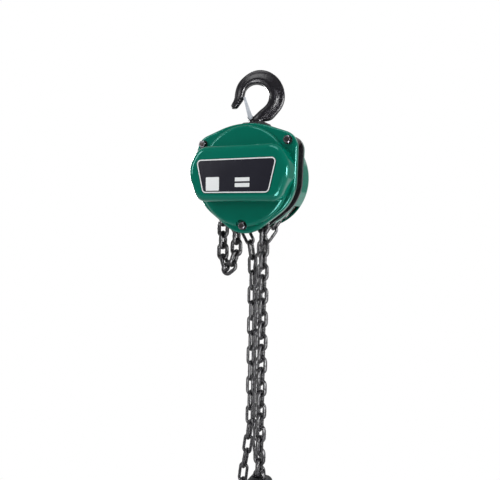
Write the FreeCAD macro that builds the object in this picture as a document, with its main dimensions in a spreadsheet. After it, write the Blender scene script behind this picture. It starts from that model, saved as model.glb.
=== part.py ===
"""Hand chain hoist, one tonne: a parametric assembly, in millimetres.

The frame has +X to the right seen from the gear cover, +Y to the rear, where the hand wheel is,
and +Z up. Its origin is the seat of the top hook's bowl, on the line the hoist hangs from.
Most pieces are drawn about the main shaft, at the middle of the load sheave, and then placed.
"""

import FreeCAD, Part
import math
import os
import re

V = FreeCAD.Vector
ACROSS = V(0, 1, 0)
doc = FreeCAD.newDocument("ChainHoist")

# ---------------------------------------------------------------- driving sizes

SIZES = [
    ("axis_drop", 140, "hook seat down to the main shaft"),
    ("hook_offset", 8, "hook line to the right of the main shaft"),
    ("hook_yaw", 24, "top hook turned on its shank, degrees"),
    ("plate_gap", 23, "between the side plates"),
    ("plate_thick", 4, "each side plate"),
    ("crown_height", 79, "top of the plates above the main shaft"),
    ("crown_radius", 130, "arc along the top of the plates"),
    ("shoulder_side", 58, "centre of the shoulder arc, sideways"),
    ("shoulder_drop", 39, "centre of the shoulder arc below the top of the plates"),
    ("shoulder_radius", 25, "shoulder arc"),
    ("hip_side", 20, "centre of the hip arc, sideways"),
    ("hip_drop", 5, "centre of the hip arc, down"),
    ("hip_radius", 62, "hip arc"),
    ("chin_drop", 37, "centre of the chin arc, down"),
    ("chin_radius", 48, "chin arc"),
    ("rear_inset", 3, "rear plate smaller all round"),
    ("stay_side", 70, "upper stay bolts, sideways"),
    ("stay_fall", 28.5, "upper stay bolts below the top of the plates"),
    ("stay_drop", 73.3, "lower stay bolt, down"),
    ("stay_radius", 3, "threaded ends of a stay bolt"),
    ("shoulder_stay", 7, "radius of a stay bolt between the plates"),
    ("nut_flat", 10, "across flats of a stay nut"),
    ("nut_high", 5, "height of a front stay nut"),
    ("rear_nut_high", 4, "height of a rear stay nut"),
    ("washer_thick", 1.2, "washer under a front stay nut"),
    ("cover_wall", 2.5, "pressed steel of both covers"),
    ("rim_depth", 8, "rim of the gear cover"),
    ("dome_depth", 14, "raised field of the gear cover"),
    ("dome_margin", 4, "raised field short of the edge of the cover"),
    ("nut_room", 9, "clear of the raised field round a stay bolt"),
    ("bulge_depth", 36, "gear housing of the gear cover"),
    ("bulge_edge", 9, "rounding of the gear housing"),
    ("bulge_in", 2, "gear housing in from the cover's widest place"),
    ("bulge_top", 44, "top of the gear housing above the main shaft"),
    ("bulge_foot", 38, "bottom of the gear housing below the main shaft"),
    ("bulge_arc", 40, "arc of each end of the gear housing"),
    ("bulge_rise", 6, "centre of that arc above the main shaft"),
    ("bulge_brow", 24, "upper corners of the gear housing"),
    ("brow_in", 6, "upper corners in from its ends"),
    ("bulge_heel", 19, "lower corners of the gear housing"),
    ("heel_in", 8.5, "lower corners in from its ends"),
    ("drum_room", 2.1, "hand wheel cover clear of the hand wheel"),
    ("drum_depth", 46, "hand wheel cover, front to rear"),
    ("drum_edge", 13, "rounding of the hand wheel cover"),
    ("fit", 0.05, "running fit, radial"),
    ("play", 0.5, "clearance between parts that pass each other"),
    ("pin_fall", 27, "suspension pin below the top of the plates"),
    ("pin_radius", 6, "suspension pin"),
    ("yoke_rise", 3, "top of the yoke above the plates"),
    ("yoke_eye", 14, "yoke round the suspension pin"),
    ("yoke_half", 20, "half the width of the yoke at its top"),
    ("yoke_corner", 5, "upper corners of the yoke"),
    ("window_half", 12, "half the width of the yoke's window for the hook nut"),
    ("yoke_wall", 8, "roof of the yoke, over the hook nut"),
    ("shank_radius", 8, "threaded shank of a hook"),
    ("neck_radius", 10, "neck of a hook"),
    ("bowl_radius", 18.5, "bowl of a hook"),
    ("hook_bead", 8.5, "half the width of a hook at its bowl"),
    ("hook_web", 5.5, "half the width of a hook at its back"),
    ("hook_nut_flat", 19, "across flats of a hook nut"),
    ("hook_nut_high", 10, "height of a hook nut"),
    ("latch_pin_radius", 2, "pin of a hook latch"),
    ("latch_pin_side", 8.8, "pin of a hook latch beside the line of its hook"),
    ("latch_pin_rise", 6.5, "pin of a hook latch above the hook's shoulder"),
    ("latch_lug", 4.2, "lugs of a hook round the pin of its latch"),
    ("latch_half", 3.4, "latch round its pin"),
    ("latch_sheet", 1.5, "sheet of a hook latch"),
    ("load_wire", 6, "load chain, wire"),
    ("load_pitch", 18, "load chain, inside length of a link"),
    ("load_width", 20.4, "load chain, outside width"),
    ("load_links", 26, "links from the sheave down to the bottom block"),
    ("slack_links", 6, "links from the sheave down to the slack loop"),
    ("pockets", 4, "pockets of the load sheave"),
    ("chain_gap", 0.05, "between the wires of two links"),
    ("hand_wire", 5, "hand chain, wire"),
    ("hand_pitch", 25, "hand chain, inside length of a link"),
    ("hand_width", 17.5, "hand chain, outside width"),
    ("hand_links", 10, "links of each hanging strand of the hand chain"),
    ("wheel_pockets", 8, "pockets of the hand wheel"),
    ("wheel_plane", 37, "middle of the hand wheel behind the sheave"),
    ("wheel_width", 26, "rim of the hand wheel"),
    ("wheel_flange", 7.4, "rim of the hand wheel outside its chain line"),
    ("wheel_room", 6, "inside of the hand wheel's rim outside the pawl pins"),
    ("sheave_width", 21.8, "load sheave between the plates"),
    ("sheave_flange", 7.2, "load sheave outside its chain line"),
    ("journal_radius", 13, "bearing journals of the load sheave"),
    ("roller_radius", 2.5, "bearing rollers"),
    ("race_wall", 2.9, "bearing rings"),
    ("roller_count", 18, "rollers in each bearing"),
    ("shaft_radius", 7, "drive shaft"),
    ("gear_centres", 36, "main shaft to each disc gear"),
    ("gear_drop", 3, "disc gear shafts below the main shaft"),
    ("drive_teeth", 8, "pinion on the drive shaft"),
    ("disc_teeth", 44, "large gear of a disc gear"),
    ("small_teeth", 13, "pinion of a disc gear"),
    ("load_teeth", 36, "gear on the load sheave"),
    ("backlash", 0.18, "thinner teeth, each gear"),
    ("gear_journal", 5, "front journals of the gears"),
    ("bush_wall", 2.5, "plain bushes"),
    ("brake_in", 6, "friction discs and brake hub smaller than the ratchet disc"),
    ("hub_thick", 4, "flange of the brake hub"),
    ("lining_thick", 2, "friction disc"),
    ("ratchet_thick", 5, "ratchet disc"),
    ("ratchet_radius", 38, "tips of the ratchet teeth"),
    ("ratchet_depth", 4.5, "depth of the ratchet teeth"),
    ("ratchet_teeth", 12, "teeth of the ratchet disc"),
    ("sleeve_radius", 18, "sleeve of the brake hub inside the ratchet disc"),
    ("pawl_reach", 6, "pawl pins outside the tips of the ratchet teeth"),
    ("pawl_pin_radius", 3, "pawl pins"),
    ("guide_side", 42, "guide rollers, sideways"),
    ("guide_drop", 14, "guide rollers, down"),
    ("guide_radius", 7, "guide rollers"),
    ("guide_pin_radius", 3, "guide roller pins"),
    ("anchor_pin_radius", 3.5, "pins that hold the ends of the load chain"),
    ("anchor_side", 47, "anchor of the slack chain end, sideways"),
    ("anchor_drop", 38, "anchor of the slack chain end, down"),
    ("stripper_drop", 50, "studs of the chain stripper"),
    ("label_thick", 0.8, "label plate"),
    ("label_side", 64, "half the width of the label plate at its top"),
    ("label_foot", 55.5, "half the width of the label plate at its bottom"),
    ("label_top", 24, "top of the label plate above the main shaft"),
    ("label_drop", 26, "bottom of the label plate below the main shaft"),
    ("label_corner", 7, "corners of the label plate"),
    ("block_depth", 30, "bottom block, front to rear"),
    ("block_half", 21.5, "bottom block, half its width"),
    ("block_height", 52, "bottom block, from the last link down"),
    ("block_bolt_radius", 3, "bolts of the bottom block"),
    ("block_bolt_rise", 26, "bolts of the bottom block above its bottom"),
    ("spring_gap", 8.4, "room between the lugs of a hook for the spring of its latch"),
]

sheet = doc.addObject("Spreadsheet::Sheet", "Sizes")
for row, (alias, value, note) in enumerate(SIZES, start=1):
    sheet.set(f"A{row}", note)
    sheet.set(f"B{row}", str(value))
    sheet.setAlias(f"B{row}", alias)
doc.recompute()


class Dimensions:
    """The sheet's values, read back for positions and for shapes set in code."""


d = Dimensions()
for alias, value, note in SIZES:
    setattr(d, alias, getattr(sheet, alias))

# ---------------------------------------------------------------- places that follow

PLATE_IN = d.plate_gap / 2
PLATE_OUT = PLATE_IN + d.plate_thick
COVER_FACE = PLATE_OUT + d.rim_depth
BULGE_FACE = PLATE_OUT + d.bulge_depth
FLANGE_REAR = PLATE_OUT + d.cover_wall
DRUM_REAR = PLATE_OUT + d.drum_depth
THROUGH = DRUM_REAR
MACHINE = FreeCAD.Placement(V(-d.hook_offset, 0, -d.axis_drop), FreeCAD.Rotation())
STAY_HEIGHT = d.crown_height - d.stay_fall
STAYS = [(-d.stay_side, STAY_HEIGHT), (d.stay_side, STAY_HEIGHT), (0, -d.stay_drop)]
PIN_HEIGHT = d.crown_height - d.pin_fall
YOKE_TOP = d.crown_height + d.yoke_rise

OUTLINE = [
    (0, d.crown_height - d.crown_radius, d.crown_radius),
    (-d.shoulder_side, d.crown_height - d.shoulder_drop, d.shoulder_radius),
    (-d.hip_side, -d.hip_drop, d.hip_radius),
    (0, -d.chin_drop, d.chin_radius),
    (d.hip_side, -d.hip_drop, d.hip_radius),
    (d.shoulder_side, d.crown_height - d.shoulder_drop, d.shoulder_radius),
]

# ---------------------------------------------------------------- drawing helpers

pieces = []


def formula(text):
    """Writes each size's name as a cell of the sheet."""
    return re.sub(r"[a-z_]{3,}", lambda word: "Sizes." + word.group(), text)


def piece(label, made, place=MACHINE):
    """Names a sub-part and puts it in its place."""
    made.Label = label
    made.Placement = place * made.Placement
    pieces.append(made)
    return made


def shaped(name, shape):
    """A sub-part whose form has no primitive of its own."""
    made = doc.addObject("Part::Feature", name)
    made.Shape = shape
    return made


def rod(name, radius, length, x, y, z):
    """A cylinder that runs to the rear from y."""
    made = doc.addObject("Part::Cylinder", name)
    made.setExpression("Radius", formula(radius))
    made.setExpression("Height", formula(length))
    made.Placement = FreeCAD.Placement(V(x, y, z), FreeCAD.Rotation(V(1, 0, 0), -90))
    return made


def post(name, radius, length, x, y, z):
    """A cylinder that stands up from z."""
    made = doc.addObject("Part::Cylinder", name)
    made.setExpression("Radius", formula(radius))
    made.setExpression("Height", formula(length))
    made.Placement = FreeCAD.Placement(V(x, y, z), FreeCAD.Rotation())
    return made


def cut(name, base, tools):
    made = doc.addObject("Part::Cut", name)
    made.Base = base
    made.Tool = tools[0] if len(tools) == 1 else fuse(name + "_tools", tools)
    return made


def fuse(name, parts):
    made = doc.addObject("Part::MultiFuse", name)
    made.Shapes = parts
    return made


def group(name, parts):
    """Identical separate solids that share one sub-part."""
    made = doc.addObject("Part::Compound", name)
    made.Links = parts
    return made


def ring(name, outer, inner, length, x, y, z):
    outside = rod(name + "_outside", outer, length, x, y, z)
    inside = rod(name + "_inside", inner, length, x, y, z)
    return cut(name, outside, [inside])


def hex_nut(name, flat, high, bore, place):
    """A hexagon nut with its corners chamfered, standing along its own Z."""
    prism = doc.addObject("Part::Prism", name + "_prism")
    prism.Polygon = 6
    prism.setExpression("Circumradius", formula(flat) + " / sqrt(3)")
    prism.setExpression("Height", formula(high))
    cone = doc.addObject("Part::Cone", name + "_chamfer")
    cone.setExpression("Radius1", formula(flat) + " / 2 + " + formula(high) + " * 1.6")
    cone.setExpression("Radius2", formula(flat) + " / 2 * 0.96")
    cone.setExpression("Height", formula(high))
    blank = doc.addObject("Part::MultiCommon", name + "_blank")
    blank.Shapes = [prism, cone]
    hole = post(name + "_bore", bore, high, 0, 0, 0)
    made = cut(name, blank, [hole])
    made.Placement = place
    return made


def facing(x, y, z, toward):
    """The place of a piece drawn along Z that points to the front or to the rear."""
    turn = 90 if toward == "front" else -90
    return FreeCAD.Placement(V(x, y, z), FreeCAD.Rotation(V(1, 0, 0), turn))


def belt(circles, inset=0.0):
    """The outline round a counter-clockwise ring of circles: arcs and their tangents."""
    rings = [(V(x, z, 0), radius - inset) for x, z, radius in circles]
    angles = []
    edges = []
    for (first, small), (second, large) in zip(rings, rings[1:] + rings[:1]):
        along = second - first
        spread = math.acos((small - large) / along.Length)
        angle = math.atan2(along.y, along.x) - spread
        outward = V(math.cos(angle), math.sin(angle), 0)
        angles.append(angle)
        edges.append(Part.LineSegment(first + outward * small, second + outward * large))
    for index, (centre, radius) in enumerate(rings):
        start = angles[index - 1]
        end = start + (angles[index] - start) % (2 * math.pi)
        circle = Part.Circle(centre, V(0, 0, 1), radius)
        edges.append(Part.ArcOfCircle(circle, start, end))
    return edges


def hole(x, z, radius):
    return [Part.Circle(V(x, z, 0), V(0, 0, 1), radius)]


def body(name):
    return doc.addObject("PartDesign::Body", name)


def sketch_on(owner, name, role, shift, edges):
    """A sketch in its body's own plane; on XZ the shift counts towards the front."""
    sketch = owner.newObject("Sketcher::SketchObject", name)
    plane = [face for face in owner.Origin.OriginFeatures if face.Role == role][0]
    sketch.AttachmentSupport = [(plane, "")]
    sketch.MapMode = "FlatFace"
    sketch.AttachmentOffset = FreeCAD.Placement(V(0, 0, shift), FreeCAD.Rotation())
    for edge in edges:
        sketch.addGeometry(edge, False)
    return sketch


def pad(owner, name, edges, shift, length, to_rear=False):
    """A pad from the plane at shift, its length a formula of the sheet."""
    sketch = sketch_on(owner, name + "_sketch", "XZ_Plane", shift, edges)
    made = owner.newObject("PartDesign::Pad", name)
    made.Profile = sketch
    made.setExpression("Length", formula(length))
    made.Reversed = to_rear
    return made


def pocket(owner, name, edges, shift, length, to_rear=False):
    """A pocket from the plane at shift, its depth a formula of the sheet."""
    sketch = sketch_on(owner, name + "_sketch", "XZ_Plane", shift, edges)
    made = owner.newObject("PartDesign::Pocket", name)
    made.Profile = sketch
    made.setExpression("Length", formula(length))
    made.Reversed = not to_rear
    return made


def round_edges(owner, name, feature, depth, radius):
    """Rounds the edges of a feature that lie in the plane at depth, front positive."""
    doc.recompute()
    chosen = []
    for number, edge in enumerate(feature.Shape.Edges, start=1):
        if all(abs(corner.Point.y + depth) < 1e-4 for corner in edge.Vertexes):
            chosen.append(f"Edge{number}")
    made = owner.newObject("PartDesign::Fillet", name)
    made.Base = (feature, chosen)
    made.Radius = radius
    return made


def flat(edges):
    """The face inside an outline."""
    return Part.Face(Part.Wire(Part.__sortEdges__([edge.toShape() for edge in edges])))


def prism(edges, start, end):
    """A flat outline drawn in X and Z, stretched from Y start to Y end."""
    face = flat(edges)
    face.rotate(V(0, 0, 0), V(1, 0, 0), 90)
    face.translate(V(0, start, 0))
    return face.extrude(V(0, end - start, 0))


def through(radius, at):
    """A cutter along Y that passes right through a piece at a point."""
    return Part.makeCylinder(radius, 2 * THROUGH, at - V(0, THROUGH, 0), ACROSS)


def turned(profile):
    """A solid turned about Y from (radius, y) points."""
    corners = [V(radius, y, 0) for radius, y in profile]
    face = Part.Face(Part.makePolygon(corners + corners[:1]))
    return face.revolve(V(0, 0, 0), V(0, 1, 0), 360)

# ---------------------------------------------------------------- frame and covers

ROLLERS = [(-d.guide_side, -d.guide_drop), (d.guide_side, -d.guide_drop)]
GEAR_SIDE = math.sqrt(d.gear_centres ** 2 - d.gear_drop ** 2)
LOAD_STEP = d.load_pitch - d.chain_gap
ANCHOR = (-d.anchor_side, -d.anchor_drop)
RACE_INSIDE = d.journal_radius + 2 * (d.roller_radius + d.fit)
RACE_OUTSIDE = RACE_INSIDE + d.race_wall
PAWL_ANGLES = (60, 240)
PAWL_ORBIT = d.ratchet_radius + d.pawl_reach
WHEEL_INSIDE = PAWL_ORBIT + d.wheel_room
PAWLS = [(PAWL_ORBIT * math.cos(math.radians(a)), PAWL_ORBIT * math.sin(math.radians(a)))
         for a in PAWL_ANGLES]


def plate_holes():
    """Bores that both side plates share."""
    holes = hole(0, 0, RACE_OUTSIDE) + hole(d.hook_offset, PIN_HEIGHT, d.pin_radius)
    for x, z in STAYS:
        holes += hole(x, z, d.stay_radius)
    for x, z in ROLLERS:
        holes += hole(x, z, d.guide_pin_radius)
    holes += hole(*ANCHOR, d.anchor_pin_radius)
    holes += hole(0, -d.stripper_drop, d.guide_pin_radius)
    return holes


def front_side_plate():
    plate = body("front_side_plate")
    holes = plate_holes()
    for side in (-1, 1):
        holes += hole(side * GEAR_SIDE, -d.gear_drop, d.gear_journal + d.bush_wall)
    pad(plate, "front_plate", belt(OUTLINE, 1) + holes, PLATE_IN, "plate_thick")
    return piece("front_side_plate", plate)


def rear_side_plate():
    plate = body("rear_side_plate")
    holes = plate_holes()
    for x, z in PAWLS:
        holes += hole(x, z, d.pawl_pin_radius)
    pad(plate, "rear_plate", belt(OUTLINE, d.rear_inset) + holes, -PLATE_IN, "plate_thick", True)
    return piece("rear_side_plate", plate)


DOME_RADIUS = min(d.crown_height, d.hip_side + d.hip_radius) - d.dome_margin


def mirrored(half):
    """A ring of circles from its left half, given from the top down, less those inside another."""
    seen = [(x, z, radius) for x, z, radius in half
            if all(large <= radius or math.hypot(x - far, z - high) > large - radius
                   for far, high, large in half)]
    return seen + [(-x, z, radius) for x, z, radius in reversed(seen)]


BULGE_SIDE = d.shoulder_side + d.shoulder_radius - d.bulge_in
BULGE = mirrored([
    (-BULGE_SIDE + d.brow_in + d.bulge_brow, d.bulge_top - d.bulge_brow, d.bulge_brow),
    (-BULGE_SIDE + d.bulge_arc, d.bulge_rise, d.bulge_arc),
    (-BULGE_SIDE + d.heel_in + d.bulge_heel, d.bulge_heel - d.bulge_foot, d.bulge_heel),
])


def cover_form(name, inset):
    """The three steps of the gear cover: rim, raised field and gear housing."""
    form = body(name)
    taken = f" - {inset}" if inset else ""
    pad(form, name + "_rim", belt(OUTLINE, inset), PLATE_OUT, "rim_depth" + taken)
    round_edges(form, name + "_rim_edge", form.Tip, COVER_FACE - inset, 3.5 - inset)
    pad(form, name + "_field", hole(0, 0, DOME_RADIUS - inset), PLATE_OUT, "dome_depth" + taken)
    field_face = PLATE_OUT + d.dome_depth - inset
    round_edges(form, name + "_field_edge", form.Tip, field_face, 5 - inset)
    notch = hole(0, -d.stay_drop, d.nut_room + inset)
    pocket(form, name + "_notch", notch, field_face, "dome_depth - rim_depth", True)
    pad(form, name + "_housing", belt(BULGE, inset), PLATE_OUT, "bulge_depth" + taken)
    round_edges(form, name + "_housing_edge", form.Tip, BULGE_FACE - inset, d.bulge_edge - inset)
    return form


def gear_cover():
    shell = cut("cover_shell", cover_form("cover_form", 0), [cover_form("cover_core", d.cover_wall)])
    seats = []
    bores = []
    for place, (x, z) in enumerate(((-GEAR_SIDE, -d.gear_drop), (0, 0), (GEAR_SIDE, -d.gear_drop))):
        depth = -BULGE_FACE + d.cover_wall / 2
        seats.append(rod(f"seat_{place}", "gear_journal + 2 * bush_wall", "bush_wall + 4.7", x, depth, z))
        bores.append(rod(f"seat_bore_{place}", "gear_journal + bush_wall", "20", x,
                         -BULGE_FACE + d.cover_wall, z))
    for place, (x, z) in enumerate(STAYS):
        bores.append(rod(f"cover_hole_{place}", "stay_radius", "20", x, -COVER_FACE - 1, z))
    whole = fuse("cover_with_seats", [shell] + seats)
    return piece("gear_cover", cut("gear_cover", whole, bores))


def hand_wheel_cover():
    """A pressed drum on a flange, open to the plate, with two slots for the hand chain."""
    flange = body("drum_flange")
    pad(flange, "drum_flange_pad", belt(OUTLINE, d.rear_inset) + hole(0, 0, DRUM_RADIUS - 1),
        -PLATE_OUT, "cover_wall", True)
    edge = d.drum_edge
    inner = edge - d.cover_wall
    wall = d.cover_wall
    drum = body("drum")
    outline = [V(DRUM_RADIUS - wall, PLATE_OUT), V(DRUM_RADIUS, PLATE_OUT),
               V(DRUM_RADIUS, DRUM_REAR - edge), V(DRUM_RADIUS - edge, DRUM_REAR),
               V(0, DRUM_REAR), V(0, DRUM_REAR - wall),
               V(DRUM_RADIUS - edge, DRUM_REAR - wall), V(DRUM_RADIUS - wall, DRUM_REAR - edge)]
    bend = V(DRUM_RADIUS - edge, DRUM_REAR - edge)
    edges = [Part.LineSegment(outline[0], outline[1]), Part.LineSegment(outline[1], outline[2]),
             Part.ArcOfCircle(Part.Circle(bend, V(0, 0, 1), edge), 0, math.pi / 2),
             Part.LineSegment(outline[3], outline[4]), Part.LineSegment(outline[4], outline[5]),
             Part.LineSegment(outline[5], outline[6]),
             Part.ArcOfCircle(Part.Circle(bend, V(0, 0, 1), inner), 0, math.pi / 2),
             Part.LineSegment(outline[7], outline[0])]
    sketch = sketch_on(drum, "drum_sketch", "XY_Plane", 0, edges)
    round_drum = drum.newObject("PartDesign::Revolution", "drum_turned")
    round_drum.Profile = sketch
    round_drum.ReferenceAxis = (sketch, ["V_Axis"])
    round_drum.Angle = 360
    whole = fuse("drum_and_flange", [drum, flange])
    tools = []
    for place, (x, z) in enumerate(STAYS):
        tools.append(rod(f"drum_hole_{place}", "stay_radius", "20", x, PLATE_OUT - 1, z))
        tools.append(rod(f"nut_recess_{place}", "nut_flat * 0.8", "rear_nut_high + 3.5",
                         x, FLANGE_REAR, z))
    for side, lean in ((1, 35), (-1, -29)):
        slot = doc.addObject("Part::Box", "chain_slot")
        slot.setExpression("Length", formula("hand_width + 7"))
        slot.setExpression("Width", formula("hand_width + 7"))
        slot.Height = DRUM_RADIUS
        turn = FreeCAD.Rotation(V(0, 1, 0), lean)
        angle = math.radians(-22.5 * 1.5)
        joint = V(side * WHEEL_LINE * math.cos(angle), d.wheel_plane, WHEEL_LINE * math.sin(angle))
        half = (d.hand_width + 7) / 2
        slot.Placement = FreeCAD.Placement(joint + turn.multVec(V(-half, -half, -DRUM_RADIUS)), turn)
        tools.append(slot)
    return piece("hand_wheel_cover", cut("hand_wheel_cover", whole, tools))


def wheel_line(wire, pitch, pockets):
    """Radius to the ends of the lying links of a chain on its wheel."""
    lying = (pitch + wire) / 2
    upright = (pitch - wire) / 2 - d.chain_gap
    turn = math.pi / pockets
    square = lying ** 2 + upright ** 2 + 2 * lying * upright * math.cos(turn)
    return math.sqrt(square) / math.sin(turn)


WHEEL_LINE = wheel_line(d.hand_wire, d.hand_pitch, d.wheel_pockets)
DRUM_RADIUS = WHEEL_LINE + d.wheel_flange + d.drum_room + d.cover_wall
SHEAVE_LINE = wheel_line(d.load_wire, d.load_pitch, d.pockets)

front_side_plate()
rear_side_plate()
gear_cover()
hand_wheel_cover()


def stay_bolts():
    bolts = []
    for place, (x, z) in enumerate(STAYS):
        reach = COVER_FACE + d.nut_high + d.washer_thick + 1
        shoulder = rod(f"stay_shoulder_{place}", "shoulder_stay", "plate_gap", x, -PLATE_IN, z)
        stud = rod(f"stay_stud_{place}", "stay_radius",
                   f"{reach} + plate_gap / 2 + plate_thick + cover_wall + rear_nut_high + 0.5",
                   x, -reach, z)
        bolts.append(fuse(f"stay_{place}", [shoulder, stud]))
    piece("stay_bolts", group("stay_bolts", bolts))
    spacers = [ring(f"spacer_{place}", "stay_radius + 0.5", "stay_radius", "rim_depth - cover_wall",
                    x, -COVER_FACE + d.cover_wall, z) for place, (x, z) in enumerate(STAYS)]
    piece("cover_spacers", group("cover_spacers", spacers))
    washers = [ring(f"washer_{place}", "nut_flat / 2 + 1.5", "stay_radius", "washer_thick",
                    x, -COVER_FACE - d.washer_thick, z) for place, (x, z) in enumerate(STAYS)]
    piece("cover_washers", group("cover_washers", washers))
    front = [hex_nut(f"front_nut_{place}", "nut_flat", "nut_high", "stay_radius",
                     facing(x, -COVER_FACE - d.washer_thick, z, "front"))
             for place, (x, z) in enumerate(STAYS)]
    piece("front_cover_nuts", group("front_cover_nuts", front))
    rear = [hex_nut(f"rear_nut_{place}", "nut_flat", "rear_nut_high", "stay_radius",
                    facing(x, FLANGE_REAR, z, "rear")) for place, (x, z) in enumerate(STAYS)]
    piece("rear_cover_nuts", group("rear_cover_nuts", rear))


def label_plate():
    corner = d.label_corner
    outline = mirrored([(corner - d.label_side, d.label_top - corner, corner),
                        (corner - d.label_foot, corner - d.label_drop, corner)])
    plate = body("label_plate")
    pad(plate, "label_pad", belt(outline), BULGE_FACE, "label_thick")
    return piece("label_plate", plate)


stay_bolts()
label_plate()

# ---------------------------------------------------------------- load sheave and bearings


def lying_radius(line, wire, pitch):
    """Radius of the middle of the links that lie in the pockets."""
    return math.sqrt(line ** 2 - ((pitch + wire) / 2) ** 2)


def upright_radius(line, wire, pitch):
    """Radius of the middle of the links that stand in the groove."""
    return math.sqrt(line ** 2 - ((pitch - wire) / 2 - d.chain_gap) ** 2)


def stadium(length, width):
    """The outline of a link, long along X."""
    half = (length - width) / 2
    return belt([(-half, 0, width / 2), (half, 0, width / 2)])


def pocket_cutter(line, wire, pitch, width, room, reach):
    """The bed of one lying link at the top of a wheel, open outwards."""
    floor = lying_radius(line, wire, pitch) - wire / 2 - room / 2
    bed = flat(stadium(pitch + 2 * wire + 2 * room, width + 2 * room))
    bed.translate(V(0, 0, floor))
    return bed.extrude(V(0, 0, reach))


def chain_wheel(blank, line, wire, pitch, width, count, room, horns):
    """Cuts the groove and the pockets of a chain wheel, whose horns stand above the chain line."""
    bottom = upright_radius(line, wire, pitch) - width / 2 - room / 2
    reach = 3 * width
    half = wire / 2 + room
    groove = Part.makeCylinder(bottom + reach, 2 * half, V(0, -half, 0), ACROSS)
    groove = groove.cut(Part.makeCylinder(bottom, 2 * half, V(0, -half, 0), ACROSS))
    side = width / 2 + room
    channel = Part.makeCylinder(bottom + reach, 2 * side, V(0, -side, 0), ACROSS)
    channel = channel.cut(Part.makeCylinder(line + horns, 2 * side, V(0, -side, 0), ACROSS))
    tools = [groove, channel]
    for index in range(count):
        bed = pocket_cutter(line, wire, pitch, width, room, reach)
        bed.rotate(V(0, 0, 0), ACROSS, (index + 0.5) * 360 / count)
        tools.append(bed)
    return blank.cut(tools)


def load_sheave():
    rim = SHEAVE_LINE + d.sheave_flange
    half = d.sheave_width / 2
    bore = d.shaft_radius + d.fit
    nose = -GEAR_FRONT - 1.6
    tail = PLATE_OUT + 1
    blank = turned([(bore, nose), (LOAD_SEAT, nose), (LOAD_SEAT, -GEAR_BACK),
                    (d.journal_radius, -GEAR_BACK), (d.journal_radius, -half), (rim - 3, -half),
                    (rim, -half + 2), (rim, half - 2), (rim - 3, half),
                    (d.journal_radius, half), (d.journal_radius, tail), (bore, tail)])
    wheel = chain_wheel(blank, SHEAVE_LINE, d.load_wire, d.load_pitch, d.load_width,
                        round(d.pockets), 0.7, d.sheave_flange)
    return piece("load_sheave", shaped("load_sheave", wheel))


LOAD_SEAT = d.journal_radius - 2
GEAR_BACK = PLATE_OUT + 6.3
GEAR_FRONT = GEAR_BACK + 11
load_sheave()


def bearings():
    """A ring pressed into each plate, with its rollers round the sheave's journal."""
    orbit = d.journal_radius + d.roller_radius + d.fit
    for name, start, more in (("front", -PLATE_OUT - 5.5, 5.5), ("rear", PLATE_IN, 1)):
        piece(f"{name}_bearing_ring", ring(f"{name}_ring", f"{RACE_OUTSIDE}", f"{RACE_INSIDE}",
                                           f"plate_thick + {more}", 0, start, 0))
        rollers = []
        for index in range(round(d.roller_count)):
            angle = 2 * math.pi * index / round(d.roller_count)
            rollers.append(rod(f"{name}_roller_{index}", "roller_radius", f"plate_thick + {more - 1}",
                               orbit * math.cos(angle), start + 0.5, orbit * math.sin(angle)))
        piece(f"{name}_bearing_rollers", group(f"{name}_bearing_rollers", rollers))


bearings()

# ---------------------------------------------------------------- gear train

PRESSURE = math.radians(25)
STUB = 0.8
ROOT = 1.05


def involute(base, radius):
    """Polar angle of an involute at a radius."""
    roll = math.sqrt(max((radius / base) ** 2 - 1, 0))
    return roll - math.atan(roll)


def gear_outline(teeth, module, shift, phase):
    """Teeth on a pitch circle, one of them centred at the angle phase (radians, from +X)."""
    pitch = module * teeth / 2
    base = pitch * math.cos(PRESSURE)
    tip = pitch + (STUB + shift) * module
    root = pitch - (ROOT - shift) * module
    half = math.pi / (2 * teeth) + 2 * shift * math.tan(PRESSURE) / teeth
    half += involute(base, pitch) - d.backlash / (2 * pitch)
    low = max(root, base)
    edges = []
    corners = []
    for index in range(teeth):
        middle = phase + 2 * math.pi * index / teeth
        rows = [(radius, half - involute(base, radius)) for radius in (low, (low + tip) / 2, tip)]
        flanks = []
        for sign in (-1, 1):
            flanks.append([V(radius * math.cos(middle + sign * turn),
                             radius * math.sin(middle + sign * turn), 0) for radius, turn in rows])
        left, right = flanks
        feet = [V(root * math.cos(middle + sign * rows[0][1]),
                  root * math.sin(middle + sign * rows[0][1]), 0) for sign in (-1, 1)]
        if low > root:
            edges.append(Part.LineSegment(feet[0], left[0]))
            edges.append(Part.LineSegment(right[0], feet[1]))
        edges.append(Part.Arc(left[0], left[1], left[2]))
        edges.append(Part.LineSegment(left[2], right[2]))
        edges.append(Part.Arc(right[2], right[1], right[0]))
        corners.append(feet if low > root else [left[0], right[0]])
    for index in range(teeth):
        edges.append(Part.LineSegment(corners[index][1], corners[(index + 1) % teeth][0]))
    return edges


FIRST_MODULE = 2 * d.gear_centres / (d.drive_teeth + d.disc_teeth)
SECOND_MODULE = 2 * d.gear_centres / (d.small_teeth + d.load_teeth)
SHIFT = 0.12
LOAD_PHASE = math.pi / 2
DRIVE_PHASE = math.pi / 2


def mate_phase(toward, teeth, phase, mate_teeth):
    """Where a gear at the angle toward has a tooth, so that a gap meets the mate's tooth."""
    step = 2 * math.pi / teeth
    late = (toward - phase) % step
    gap = toward + math.pi + late * teeth / mate_teeth
    return gap + math.pi / mate_teeth


def splined_gear():
    outline = gear_outline(round(d.load_teeth), SECOND_MODULE, 0, LOAD_PHASE)
    blank = prism(outline, -GEAR_FRONT, -GEAR_BACK)
    blank = blank.cut(through(LOAD_SEAT, V(0, 0, 0)))
    piece("load_gear", shaped("load_gear", blank))
    snap = ring("snap", f"{LOAD_SEAT} + 1.6", f"{LOAD_SEAT}", "1.2", 0, -GEAR_FRONT - 1.2, 0)
    piece("load_gear_snap_ring", snap)


DISC_FRONT = BULGE_FACE - d.cover_wall - 6.2
DISC_BACK = DISC_FRONT - 5.5


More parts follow.
